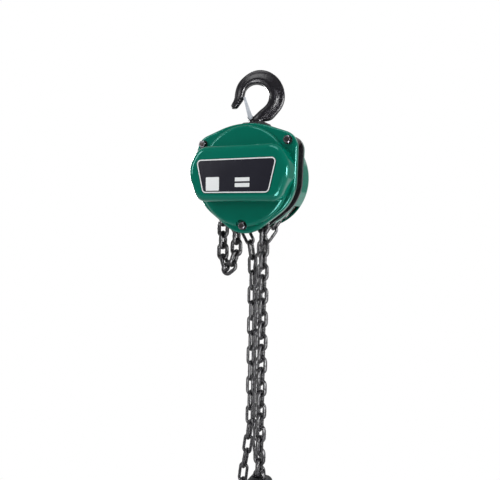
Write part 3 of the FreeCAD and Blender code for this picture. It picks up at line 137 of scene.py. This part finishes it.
def air_light(tree, strength):
    """White light from all round."""
    light = tree.nodes.new("ShaderNodeBackground")
    light.inputs["Color"].default_value = (1, 1, 1, 1)
    light.inputs["Strength"].default_value = strength
    return light.outputs[0]


world = bpy.data.worlds.new("studio_air")
bpy.context.scene.world = world
world.use_nodes = True
air = world.node_tree
air.nodes.clear()
air_out = air.nodes.new("ShaderNodeOutputWorld")
air_seen = air.nodes.new("ShaderNodeLightPath")
air_mix = air.nodes.new("ShaderNodeMixShader")
air.links.new(air_seen.outputs["Is Camera Ray"], air_mix.inputs["Fac"])
air.links.new(air_light(air, strength=0.3), air_mix.inputs[1])
air.links.new(air_light(air, strength=1.0), air_mix.inputs[2])
air.links.new(air_mix.outputs[0], air_out.inputs["Surface"])


def facing_body(place):
    """The turn that points a lamp or a card at this place to the hoist's body."""
    toward = Vector((0, 0, shaft_height)) - Vector(place)
    return toward.to_track_quat("-Z", "Y").to_euler()


def soft_box(name, place, width, height, power):
    """A lamp behind a sheet of diffuser."""
    clear_selection()
    bpy.ops.object.light_add(type="AREA", location=place)
    lamp = bpy.context.object
    lamp.name = name
    lamp.data.shape = "RECTANGLE"
    lamp.data.size = width
    lamp.data.size_y = height
    lamp.data.energy = power
    lamp.rotation_euler = facing_body(place)


soft_box("left_box", (-1.5, -1.5, 0.45), width=0.5, height=0.9, power=17)
soft_box("top_box", (0.1, -0.8, 1.4), width=1.2, height=0.8, power=16)
soft_box("right_box", (1.55, 0.12, shaft_height - 0.02), width=0.5, height=0.9, power=15)

green_and_black_parts = bpy.data.collections.new("green_and_black_parts")
for part in ("gear_cover", "hand_wheel_cover", "top_hook", "bottom_hook", "load_chain",
             "hand_chain", "front_cover_nuts"):
    green_and_black_parts.objects.link(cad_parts[part])


def gleam_card(name, place, width, height, glow):
    """A reflector that only the green and black parts mirror, and that lights nothing."""
    card, tree = blank_material(name)
    card.cycles.emission_sampling = "NONE"
    seen_bright(tree, tree.nodes.new("ShaderNodeBsdfTransparent"), glow, "Is Glossy Ray")
    clear_selection()
    bpy.ops.mesh.primitive_plane_add(size=1, location=place, rotation=facing_body(place))
    bpy.ops.transform.resize(value=(width, height, 1), orient_type="LOCAL")
    reflector = finish_piece(name)
    reflector.data.materials.append(card)
    reflector.light_linking.receiver_collection = green_and_black_parts


gleam_card("right_card", (1.35, -0.35, shaft_height + 0.03), width=0.3, height=0.5, glow=60)
gleam_card("low_card", (0.38, -0.62, shaft_height - 0.5), width=0.5, height=0.4, glow=26)
gleam_card("left_card", (-1.1, 1.0, shaft_height + 0.1), width=0.35, height=0.6, glow=22)

view_rise = math.radians(2.8)
view_roll = math.radians(0.93)
view_distance = 0.72
view_width = 0.738
body_middle = Vector((-0.008, -0.030, shaft_height + 0.006))
body_in_view = Vector((-0.0122, 0.1003, 0))
sensor_width = 36
away = Vector((math.sin(view_turn) * math.cos(view_rise),
               -math.cos(view_turn) * math.cos(view_rise),
               math.sin(view_rise)))
stance = (-away).to_track_quat("-Z", "Y") @ Quaternion((0, 0, 1), view_roll)
clear_selection()
bpy.ops.object.camera_add()
camera = bpy.context.object
camera.name = "camera"
camera.data.sensor_width = sensor_width
camera.data.lens = sensor_width * view_distance / view_width
camera.data.clip_start = 0.05
camera.data.clip_end = 30
camera.rotation_mode = "QUATERNION"
camera.rotation_quaternion = stance
camera.location = body_middle - stance @ body_in_view + away * view_distance
bpy.context.scene.camera = camera

# ---------------------------------------------------------------- painted covers
# The gear cover and the hand wheel cover are drawn from 2.5 mm sheet and sprayed with a
# high-gloss green enamel, which lies with a slight orange peel and thins out at the edges.


def new_group(name, inputs, outputs):
    """A shader node group, with its inputs set to their default values, and its two ends."""
    group = bpy.data.node_groups.new(name, "ShaderNodeTree")
    for label, value in inputs.items():
        kind = "NodeSocketColor" if isinstance(value, tuple) else "NodeSocketFloat"
        socket = group.interface.new_socket(label, in_out="INPUT", socket_type=kind)
        socket.default_value = value
    for label in outputs:
        kind = "NodeSocketColor" if label == "Colour" else "NodeSocketFloat"
        group.interface.new_socket(label, in_out="OUTPUT", socket_type=kind)
    entry = group.nodes.new("NodeGroupInput")
    leave = group.nodes.new("NodeGroupOutput")
    return group, entry.outputs, leave.inputs


def join(tree, value, socket):
    """Feeds a socket from another one, or sets it to a plain number, colour or vector."""
    if isinstance(value, (int, float, tuple)):
        socket.default_value = value
    else:
        tree.links.new(value, socket)


def own_place(tree):
    """Where a point of the surface lies in the object's own coordinates."""
    return tree.nodes.new("ShaderNodeTexCoord").outputs["Object"]


def noise(tree, where, scale, detail, rough=0.5):
    """Fractal noise."""
    made = tree.nodes.new("ShaderNodeTexNoise")
    join(tree, detail, made.inputs["Detail"])
    join(tree, rough, made.inputs["Roughness"])
    join(tree, scale, made.inputs["Scale"])
    join(tree, where, made.inputs["Vector"])
    return made.outputs["Fac"]


def spread(tree, value, low, high, new_low=0.0, new_high=1.0):
    """Stretches a value from low..high to new_low..new_high."""
    made = tree.nodes.new("ShaderNodeMapRange")
    join(tree, low, made.inputs["From Min"])
    join(tree, high, made.inputs["From Max"])
    join(tree, new_low, made.inputs["To Min"])
    join(tree, new_high, made.inputs["To Max"])
    join(tree, value, made.inputs["Value"])
    return made.outputs["Result"]


def bent(tree, flat, full):
    """How sharply the surface bends, from 0 at one pointiness to 1 at the other."""
    geometry = tree.nodes.new("ShaderNodeNewGeometry")
    return spread(tree, geometry.outputs["Pointiness"], flat, full)


def worked(tree, operation, first, second=0.0):
    """One arithmetic step."""
    made = tree.nodes.new("ShaderNodeMath")
    made.operation = operation
    join(tree, first, made.inputs[0])
    join(tree, second, made.inputs[1])
    return made.outputs[0]


def blended(tree, mask, first, second):
    """Mixes two colours by a mask."""
    made = tree.nodes.new("ShaderNodeMix")
    made.data_type = "RGBA"
    join(tree, mask, made.inputs["Factor"])
    join(tree, first, made.inputs[6])
    join(tree, second, made.inputs[7])
    return made.outputs[2]


enamel_skin, given, result = new_group(
    "enamel_skin",
    {"Colour": (0.0, 0.14, 0.09, 1.0), "Thin Edge": (0.02, 0.22, 0.16, 1.0), "Peel": 0.00004,
     "Gloss": 0.2},
    ("Colour", "Roughness", "Height"))
where = own_place(enamel_skin)
cloud = noise(enamel_skin, where, scale=14.0, detail=4.0, rough=0.55)
speck = noise(enamel_skin, where, scale=900.0, detail=2.0, rough=0.6)
peel = noise(enamel_skin, where, scale=420.0, detail=1.0, rough=0.4)
uneven = spread(enamel_skin, cloud, 0.35, 0.65, 0.0, 0.16)
tone = blended(enamel_skin, uneven, given["Colour"], given["Thin Edge"])
crest = worked(enamel_skin, "MULTIPLY", bent(enamel_skin, 0.52, 0.62), 0.35)
join(enamel_skin, blended(enamel_skin, crest, tone, given["Thin Edge"]), result["Colour"])
dull = spread(enamel_skin, cloud, 0.3, 0.7, -0.03, 0.05)
dull = worked(enamel_skin, "ADD", dull, spread(enamel_skin, speck, 0.55, 0.75, 0.0, 0.06))
join(enamel_skin, worked(enamel_skin, "ADD", given["Gloss"], dull), result["Roughness"])
join(enamel_skin, worked(enamel_skin, "MULTIPLY", peel, given["Peel"]), result["Height"])


def skinned(name, group, **values):
    """A material in which a group, set to these values, gives the colour and roughness."""
    material, tree = blank_material(name)
    shader = tree.nodes.new("ShaderNodeBsdfPrincipled")
    skin = tree.nodes.new("ShaderNodeGroup")
    skin.node_tree = group
    for label, value in values.items():
        skin.inputs[label.replace("_", " ").title()].default_value = value
    join(tree, skin.outputs["Colour"], shader.inputs["Base Color"])
    join(tree, skin.outputs["Roughness"], shader.inputs["Roughness"])
    join(tree, shader.outputs[0], tree.nodes["Material Output"].inputs["Surface"])
    return material, tree, shader.inputs, skin.outputs


def raised(tree, height, surface):
    """A bump from a height in metres."""
    bump = tree.nodes.new("ShaderNodeBump")
    bump.inputs["Distance"].default_value = 1.0
    bump.inputs["Strength"].default_value = 1.0
    join(tree, height, bump.inputs["Height"])
    join(tree, bump.outputs[0], surface["Normal"])


def enamelled(name, shine=0.5, tint=(1, 1, 1, 1), **values):
    """A sprayed or printed glossy coat."""
    material, tree, surface, skin = skinned(name, enamel_skin, **values)
    surface["Specular IOR Level"].default_value = shine
    surface["Specular Tint"].default_value = tint
    raised(tree, skin["Height"], surface)
    return material


def coat_nodes(material, *names):
    """Gives CAD nodes a material in place of the one they came with."""
    for name in names:
        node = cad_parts[name]
        node.data.materials.clear()
        node.data.materials.append(material)


green_enamel = enamelled("green_enamel", shine=0.35, tint=(0.35, 1.0, 0.95, 1),
                         colour=(0.0, 0.138, 0.09, 1), thin_edge=(0.0, 0.18, 0.125, 1),
                         peel=0.00002, gloss=0.08)
coat_nodes(green_enamel, "gear_cover", "hand_wheel_cover")

# ---------------------------------------------------------------- forged hooks
# Drop-forged, quenched and dipped in black paint. Scale and die marks show through the paint,
# it has worn to bare steel on the beads, and a low flash line is left where the dies met.

forged_skin, given, result = new_group(
    "forged_skin",
    {"Paint": (0.01, 0.01, 0.012, 1.0), "Bare": (0.2, 0.2, 0.21, 1.0), "Grain": 90.0,
     "Depth": 0.0004, "Wear": 0.3, "Gloss": 0.35},
    ("Colour", "Roughness", "Height", "Metal"))
where = own_place(forged_skin)
lumps = noise(forged_skin, where, given["Grain"], detail=5.0, rough=0.6)
fine = noise(forged_skin, where, scale=650.0, detail=3.0, rough=0.6)
crest = bent(forged_skin, 0.51, 0.6)
scuffed = worked(forged_skin, "MULTIPLY", crest, spread(forged_skin, fine, 0.4, 0.62))
scuffed = worked(forged_skin, "MULTIPLY", scuffed, given["Wear"])
join(forged_skin, blended(forged_skin, scuffed, given["Paint"], given["Bare"]),
     result["Colour"])
join(forged_skin, scuffed, result["Metal"])
uneven = spread(forged_skin, lumps, 0.3, 0.7, -0.08, 0.12)
join(forged_skin, worked(forged_skin, "ADD", given["Gloss"], uneven), result["Roughness"])
height = worked(forged_skin, "ADD", lumps, worked(forged_skin, "MULTIPLY", fine, 0.12))
join(forged_skin, worked(forged_skin, "MULTIPLY", height, given["Depth"]), result["Height"])

flash_foot_reach = 0.0011
flash_crown_reach = 0.0004
flash_height = 0.0004


def flash_line(tree, across):
    """The height of the trimmed flash, which runs in the plane square to across."""
    where = own_place(tree)
    aside = tree.nodes.new("ShaderNodeVectorMath")
    aside.operation = "DOT_PRODUCT"
    join(tree, where, aside.inputs[0])
    join(tree, across, aside.inputs[1])
    off_plane = worked(tree, "ABSOLUTE", aside.outputs["Value"])
    ridge = spread(tree, off_plane, flash_foot_reach, flash_crown_reach)
    trimmed = spread(tree, noise(tree, where, scale=260.0, detail=2.0), 0.35, 0.6, 0.3, 1.0)
    return worked(tree, "MULTIPLY", worked(tree, "MULTIPLY", ridge, trimmed), flash_height)


def forged(name, seam=None, shine=0.5, **values):
    """A dark forged or hardened steel finish; seam is square to where the dies met."""
    material, tree, surface, skin = skinned(name, forged_skin, **values)
    surface["Specular IOR Level"].default_value = shine
    join(tree, skin["Metal"], surface["Metallic"])
    height = skin["Height"]
    if seam:
        height = worked(tree, "ADD", height, flash_line(tree, seam))
    raised(tree, height, surface)
    return material


def hook_paint(name, turn):
    """The paint of a hook that is turned by this angle about its shank."""
    return forged(name, seam=(-math.sin(turn), math.cos(turn), 0), shine=0.3,
                  paint=(0.009, 0.008, 0.011, 1), bare=(0.25, 0.25, 0.27, 1), grain=110.0,
                  depth=0.00045, wear=0.45, gloss=0.26)


top_hook_turn = math.radians(24)
coat_nodes(hook_paint("top_hook_black", top_hook_turn), "top_hook")
coat_nodes(hook_paint("hook_black", 0), "bottom_hook", "top_hook_nut", "bottom_hook_nut")

# ---------------------------------------------------------------- side plates
# Two 4 mm plates of hot-rolled steel carry the load between them. They are stamped out and
# painted black over the mill scale, which shows as a fine grain along their edges.

# Their near-black colour is partly painted shade: it also stands in for the shade inside the gap
# between the two covers.
plate_black_and_gap_shade = forged("plate_black_and_gap_shade", paint=(0.012, 0.012, 0.015, 1), bare=(0.2, 0.2, 0.22, 1),
                     grain=320.0, depth=0.0004, wear=0.35, gloss=0.36)
coat_nodes(plate_black_and_gap_shade, "front_side_plate", "rear_side_plate")

# ---------------------------------------------------------------- chains
# The load chain is alloy steel wire, bent and butt welded link by link and hardened to a
# dark finish. The hand chain is lighter wire, zinc plated and chromated dark.

chain_black = forged("chain_black", paint=(0.011, 0.010, 0.013, 1), bare=(0.3, 0.3, 0.32, 1),
                     grain=240.0, depth=0.0002, wear=0.35, gloss=0.3)
coat_nodes(chain_black, "load_chain")
hand_chain_dark = forged("hand_chain_dark", paint=(0.014, 0.013, 0.017, 1),
                         bare=(0.35, 0.35, 0.37, 1), grain=300.0, depth=0.00015, wear=0.4,
                         gloss=0.3)
coat_nodes(hand_chain_dark, "hand_chain")

weld_side = Vector((1, 0.3, 0.1))
bead_thickness = 0.0005
bead_sunk = 0.00015
bead_stretch = 2.2
bead_outer_stretch = 0.6


def pick_points(piece, chosen):
    """In edit mode, selects the points for which chosen(place) holds."""
    bpy.ops.mesh.select_mode(type="VERT")
    bpy.ops.mesh.select_all(action="DESELECT")
    mesh = bmesh.from_edit_mesh(piece.data)
    for point in mesh.verts:
        point.select_set(bool(chosen(piece.matrix_world @ point.co)))
    mesh.select_flush(True)
    bmesh.update_edit_mesh(piece.data)


def patches_of(name):
    """The points of each connected patch of a CAD node's mesh, as arrays."""
    mesh = bmesh.new()
    mesh.from_mesh(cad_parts[name].data)
    for first in mesh.verts:
        if first.tag:
            continue
        first.tag = True
        patch, open_ends = [first], [first]
        while open_ends:
            for edge in open_ends.pop().link_edges:
                for point in edge.verts:
                    if not point.tag:
                        point.tag = True
                        patch.append(point)
                        open_ends.append(point)
        yield np.array([point.co for point in patch])
    mesh.free()


def patch_frame(places):
    """The middle of a patch of wire, its two longest axes, its span along the second, its wire."""
    middle = (places.max(axis=0) + places.min(axis=0)) / 2
    axes = np.linalg.eigh(np.cov((places - middle).T))[1][:, ::-1]
    reach = (places - middle) @ axes
    span = reach.max(axis=0) - reach.min(axis=0)
    middle = middle + axes @ ((reach.max(axis=0) + reach.min(axis=0)) / 2)
    along, across = Vector(axes[:, 0]), Vector(axes[:, 1])
    if across.dot(weld_side) < 0:
        across.negate()
    return Vector(middle), along, across, span[1], span[2]


def weld_bead(wire):
    """A ring upset from the wire by its weld, longer than it is high, and less outside."""
    clear_selection()
    bpy.ops.mesh.primitive_torus_add(major_segments=16, minor_segments=8,
                                     major_radius=wire / 2 - bead_sunk,
                                     minor_radius=bead_thickness)
    bead = bpy.context.object
    bpy.ops.object.mode_set(mode="EDIT")
    bpy.ops.mesh.select_all(action="SELECT")
    bpy.ops.transform.resize(value=(1, 1, bead_stretch))
    pick_points(bead, lambda at: at.x > wire / 4)
    bpy.ops.transform.resize(value=(1, 1, bead_outer_stretch))
    bpy.ops.object.mode_set(mode="OBJECT")
    bpy.ops.object.shade_smooth()
    return bead


def weld_beads(name, chain, material):
    """A weld bead set at every patch of a chain's wire, as one piece."""
    # A node's mesh comes apart at the CAD faces, so a link has four patches, which are its two
    # straight sides and its two bends, and gets four beads. A real link has one.
    beads = []
    for middle, along, across, width, wire in map(patch_frame, patches_of(chain)):
        if beads:
            bead = beads[0].copy()
            bead.data = beads[0].data.copy()
            bpy.context.collection.objects.link(bead)
        else:
            bead = weld_bead(wire)
        turn = Matrix((across, along.cross(across), along)).transposed().to_4x4()
        bead.matrix_world = Matrix.Translation(middle + across * (width - wire) / 2) @ turn
        beads.append(bead)
    clear_selection()
    for bead in beads:
        bead.select_set(True)
    bpy.context.view_layer.objects.active = beads[0]
    bpy.ops.object.join()
    beads[0].data.materials.append(material)
    return finish_piece(name, beads[0])


load_chain_welds = weld_beads("load_chain_welds", "load_chain", chain_black)
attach(load_chain_welds, "frame")
hand_chain_welds = weld_beads("hand_chain_welds", "hand_chain", hand_chain_dark)
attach(hand_chain_welds, "frame")

# ---------------------------------------------------------------- label
# A plate of 0.8 mm aluminium, printed dark with a glossy lacquer and glued to the housing.
# Its border and its empty fields are white ink, printed on top.

label_dark = enamelled("label_dark", shine=0.25, colour=(0.006, 0.006, 0.012, 1),
                       thin_edge=(0.02, 0.02, 0.034, 1), peel=0.00001, gloss=0.22)
coat_nodes(label_dark, "label_plate")
label_ink = enamelled("label_ink", colour=(0.86, 0.88, 0.88, 1), thin_edge=(0.7, 0.73, 0.75, 1),
                      peel=0.00001, gloss=0.32)

shaft_side = -0.008
label_front = -0.0523
ink_film = 0.00007
corner_steps = 8


def ink_patch(name, top, bottom, half_top, half_bottom, radius, line=None, middle_x=0.0):
    """A rounded patch of ink on the label, or its outline, measured from the main shaft."""
    clear_selection()
    height = top - bottom
    place = Vector((shaft_side + middle_x, label_front, shaft_height + top - height / 2))
    half_corner = math.radians(45)
    half_lean = math.atan2(half_top - half_bottom, height) / 2
    bpy.ops.mesh.primitive_plane_add(size=1, rotation=(upright, 0, 0), location=place)
    patch = bpy.context.object
    bpy.ops.object.transform_apply(location=False, rotation=True, scale=True)
    bpy.ops.object.mode_set(mode="EDIT")
    bpy.ops.transform.resize(value=(2 * half_top, 1, height), center_override=place)
    pick_points(patch, lambda at: at.z < place.z)
    bpy.ops.transform.resize(value=(half_bottom / half_top, 1, 1), center_override=place)
    bpy.ops.mesh.bevel(offset=radius / math.tan(half_corner + half_lean),
                       segments=corner_steps, affect="VERTICES")
    pick_points(patch, lambda at: at.z > place.z + height / 3)
    bpy.ops.mesh.bevel(offset=radius / math.tan(half_corner - half_lean),
                       segments=corner_steps, affect="VERTICES")
    bpy.ops.mesh.select_mode(type="FACE")
    bpy.ops.mesh.select_all(action="SELECT")
    if line:
        bpy.ops.mesh.inset(thickness=line)
        bpy.ops.mesh.delete(type="FACE")
        bpy.ops.mesh.select_all(action="SELECT")
    bpy.ops.mesh.extrude_region_move(TRANSFORM_OT_translate={"value": (0, -ink_film, 0)})
    bpy.ops.mesh.select_all(action="SELECT")
    bpy.ops.mesh.normals_make_consistent(inside=False)
    bpy.ops.object.mode_set(mode="OBJECT")
    patch.data.materials.append(label_ink)
    return finish_piece(name, patch)


label_inks = [
    ink_patch("label_border", top=0.0236, bottom=-0.0256, half_top=0.0653, half_bottom=0.0537,
              radius=0.0066, line=0.0016),
    ink_patch("label_square", top=-0.0025, bottom=-0.0223, half_top=0.0112,
              half_bottom=0.0112, radius=0.0013, middle_x=-0.0368),
    ink_patch("label_field_upper", top=-0.0038, bottom=-0.0093, half_top=0.0117,
              half_bottom=0.0117, radius=0.0003, middle_x=0.0123),
    ink_patch("label_field_lower", top=-0.0118, bottom=-0.0174, half_top=0.0117,
              half_bottom=0.0117, radius=0.0003, middle_x=0.0123)]
for patch in label_inks:
    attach(patch, "frame")

# ---------------------------------------------------------------- stay bolts, nuts and washers
# Turned steel stays blackened in oil, screwed up with dark chromated nuts on black washers.
# The spacers between cover and plate are cut from bright tube.

steel_skin, given, result = new_group(
    "steel_skin",
    {"Colour": (0.5, 0.5, 0.52, 1.0), "Soil Colour": (0.1, 0.09, 0.08, 1.0), "Soil": 0.2,
     "Along": 12.0, "Grain": 300.0, "Depth": 0.00002, "Gloss": 0.3},
    ("Colour", "Roughness", "Height"))
where = own_place(steel_skin)
stretch = steel_skin.nodes.new("ShaderNodeCombineXYZ")
join(steel_skin, 1.0, stretch.inputs["X"])
join(steel_skin, given["Along"], stretch.inputs["Y"])
join(steel_skin, 1.0, stretch.inputs["Z"])
turned = steel_skin.nodes.new("ShaderNodeVectorMath")
turned.operation = "MULTIPLY"
join(steel_skin, where, turned.inputs[0])
join(steel_skin, stretch.outputs[0], turned.inputs[1])
marks = noise(steel_skin, turned.outputs[0], given["Grain"], detail=3.0, rough=0.65)
stain = noise(steel_skin, where, scale=55.0, detail=5.0, rough=0.6)
hollow = bent(steel_skin, 0.5, 0.42)
soiled = worked(steel_skin, "MAXIMUM", spread(steel_skin, stain, 0.45, 0.7), hollow)
soiled = worked(steel_skin, "MULTIPLY", soiled, given["Soil"])
join(steel_skin, blended(steel_skin, soiled, given["Colour"], given["Soil Colour"]),
     result["Colour"])
uneven = spread(steel_skin, marks, 0.3, 0.7, -0.05, 0.1)
uneven = worked(steel_skin, "ADD", uneven, worked(steel_skin, "MULTIPLY", soiled, 0.3))
join(steel_skin, worked(steel_skin, "ADD", given["Gloss"], uneven), result["Roughness"])
join(steel_skin, worked(steel_skin, "MULTIPLY", marks, given["Depth"]), result["Height"])


def steel(name, metal=1.0, **values):
    """A turned, ground, plated or cast steel finish."""
    material, tree, surface, skin = skinned(name, steel_skin, **values)
    raised(tree, skin["Height"], surface)
    surface["Metallic"].default_value = metal
    return material


nut_dark = steel("nut_dark", colour=(0.17, 0.16, 0.18, 1), soil_colour=(0.05, 0.045, 0.045, 1),
                 soil=0.5, along=4.0, grain=400.0, depth=0.00002, gloss=0.22)
coat_nodes(nut_dark, "front_cover_nuts", "rear_cover_nuts")
# The washers' near-black colour is partly painted shade, standing in for the shaded recess round
# each nut.
washer_black_and_recess_shade = steel("washer_black_and_recess_shade", metal=0.6, colour=(0.02, 0.02, 0.022, 1),
                     soil_colour=(0.05, 0.04, 0.035, 1), soil=0.4, along=2.0, grain=500.0,
                     depth=0.00003, gloss=0.4)
coat_nodes(washer_black_and_recess_shade, "cover_washers")
bolt_black = steel("bolt_black", metal=0.8, colour=(0.035, 0.03, 0.032, 1),
                   soil_colour=(0.09, 0.05, 0.04, 1), soil=0.4, along=14.0, grain=180.0,
                   depth=0.0001, gloss=0.32)
coat_nodes(bolt_black, "stay_bolts", "block_bolts")
spacer_bright = steel("spacer_bright", colour=(0.5, 0.51, 0.53, 1),
                      soil_colour=(0.15, 0.13, 0.11, 1), soil=0.3, along=10.0, grain=260.0,
                      depth=0.00002, gloss=0.28)
coat_nodes(spacer_bright, "cover_spacers")

# ---------------------------------------------------------------- yoke and suspension pin
# The yoke is forged and painted black like the hook, and turns on the ground pin that
# crosses both side plates.

yoke_black = forged("yoke_black", shine=0.25, paint=(0.01, 0.01, 0.012, 1),
                    bare=(0.12, 0.12, 0.13, 1), grain=80.0, depth=0.0004, wear=0.3, gloss=0.45)
coat_nodes(yoke_black, "yoke")
pin_steel = steel("pin_steel", colour=(0.5, 0.5, 0.52, 1), soil_colour=(0.16, 0.12, 0.1, 1),
                  soil=0.25, along=9.0, grain=320.0, depth=0.00001, gloss=0.22)
coat_nodes(pin_steel, "suspension_pin", "block_chain_pin", "pawl_pins", "guide_roller_pins",
           "chain_anchor_pin")

# ---------------------------------------------------------------- safety latches
# Each latch is folded from zinc plated sheet and held shut by a spring of hard drawn wire
# round its riveted pin.

latch_zinc = steel("latch_zinc", metal=0.7, colour=(0.7, 0.74, 0.8, 1),
                   soil_colour=(0.36, 0.42, 0.52, 1), soil=0.3, along=1.0, grain=120.0,
                   depth=0.00002, gloss=0.4)
coat_nodes(latch_zinc, "top_hook_latch", "bottom_hook_latch", "top_latch_pin",
           "bottom_latch_pin")
spring_wire = steel("spring_wire", colour=(0.3, 0.3, 0.31, 1), soil_colour=(0.1, 0.08, 0.07, 1),
                    soil=0.3, along=1.0, grain=500.0, depth=0.00001, gloss=0.3)
coat_nodes(spring_wire, "top_latch_spring", "bottom_latch_spring", "upper_pawl_spring",
           "lower_pawl_spring")

# ---------------------------------------------------------------- load sheave and its bearings
# The sheave is cast steel, rough as cast but for the machined journals, and runs in two
# rows of ground rollers between polished rings.

sheave_iron = steel("sheave_iron", metal=0.8, colour=(0.13, 0.13, 0.14, 1),
                    soil_colour=(0.05, 0.04, 0.035, 1), soil=0.5, along=1.0, grain=220.0,
                    depth=0.00012, gloss=0.5)
coat_nodes(sheave_iron, "load_sheave", "left_guide_roller", "right_guide_roller")
bearing_bright = steel("bearing_bright", colour=(0.6, 0.61, 0.63, 1),
                       soil_colour=(0.25, 0.22, 0.18, 1), soil=0.15, along=20.0, grain=300.0,
                       depth=0.000005, gloss=0.14)
coat_nodes(bearing_bright, "front_bearing_ring", "rear_bearing_ring", "front_bearing_rollers",
           "rear_bearing_rollers")

# ---------------------------------------------------------------- gears and shaft
# Hobbed from alloy steel, hardened and greased: grey-brown flanks with bright tips. The small
# journals run in bushes of sintered bronze.

gear_steel = steel("gear_steel", colour=(0.36, 0.35, 0.34, 1), soil_colour=(0.16, 0.1, 0.05, 1),
                   soil=0.45, along=6.0, grain=200.0, depth=0.00002, gloss=0.28)
coat_nodes(gear_steel, "load_gear", "left_disc_gear", "right_disc_gear", "drive_shaft")
snap_steel = steel("snap_steel", colour=(0.22, 0.22, 0.23, 1), soil_colour=(0.1, 0.08, 0.06, 1),
                   soil=0.3, along=2.0, grain=400.0, depth=0.00001, gloss=0.3)
coat_nodes(snap_steel, "load_gear_snap_ring")
bush_bronze = steel("bush_bronze", colour=(0.5, 0.32, 0.15, 1), soil_colour=(0.18, 0.1, 0.05, 1),
                    soil=0.35, along=3.0, grain=700.0, depth=0.00004, gloss=0.36)
coat_nodes(bush_bronze, "front_gear_bushes", "rear_gear_bushes")

# ---------------------------------------------------------------- brake, ratchet and pawls
# The hub and the ratchet disc are turned and hardened, with pressed linings between them.
# The pawls are stamped from hardened plate.

brake_steel = steel("brake_steel", colour=(0.36, 0.36, 0.37, 1),
                    soil_colour=(0.14, 0.11, 0.09, 1), soil=0.35, along=8.0, grain=260.0,
                    depth=0.00002, gloss=0.3)
coat_nodes(brake_steel, "brake_hub", "ratchet_disc", "upper_pawl", "lower_pawl",
           "chain_stripper")
lining = steel("lining", metal=0.0, colour=(0.09, 0.075, 0.06, 1),
               soil_colour=(0.2, 0.15, 0.1, 1), soil=0.5, along=1.0, grain=900.0, depth=0.0002,
               gloss=0.75)
coat_nodes(lining, "friction_discs")

# ---------------------------------------------------------------- hand wheel
# Pressed from steel plate and yellow zinc plated. A zinc plated castle nut with a split pin
# holds it on the thread of the drive shaft.

wheel_zinc = steel("wheel_zinc", colour=(0.55, 0.5, 0.36, 1), soil_colour=(0.2, 0.16, 0.1, 1),
                   soil=0.4, along=2.0, grain=260.0, depth=0.00004, gloss=0.32)
coat_nodes(wheel_zinc, "hand_wheel")
nut_zinc = steel("nut_zinc", colour=(0.4, 0.38, 0.41, 1), soil_colour=(0.12, 0.1, 0.1, 1),
                 soil=0.5, along=4.0, grain=400.0, depth=0.00002, gloss=0.25)
coat_nodes(nut_zinc, "shaft_nut", "shaft_cotter")

# ---------------------------------------------------------------- bottom block
# Two cast halves, tumbled smooth and painted black, are bolted together round the last link
# of the load chain and the neck of the bottom hook. Their nuts are zinc plated.

block_black = forged("block_black", paint=(0.013, 0.013, 0.015, 1), bare=(0.2, 0.2, 0.21, 1),
                     grain=150.0, depth=0.0003, wear=0.35, gloss=0.4)
coat_nodes(block_black, "front_block_half", "rear_block_half")
coat_nodes(nut_zinc, "block_nuts")
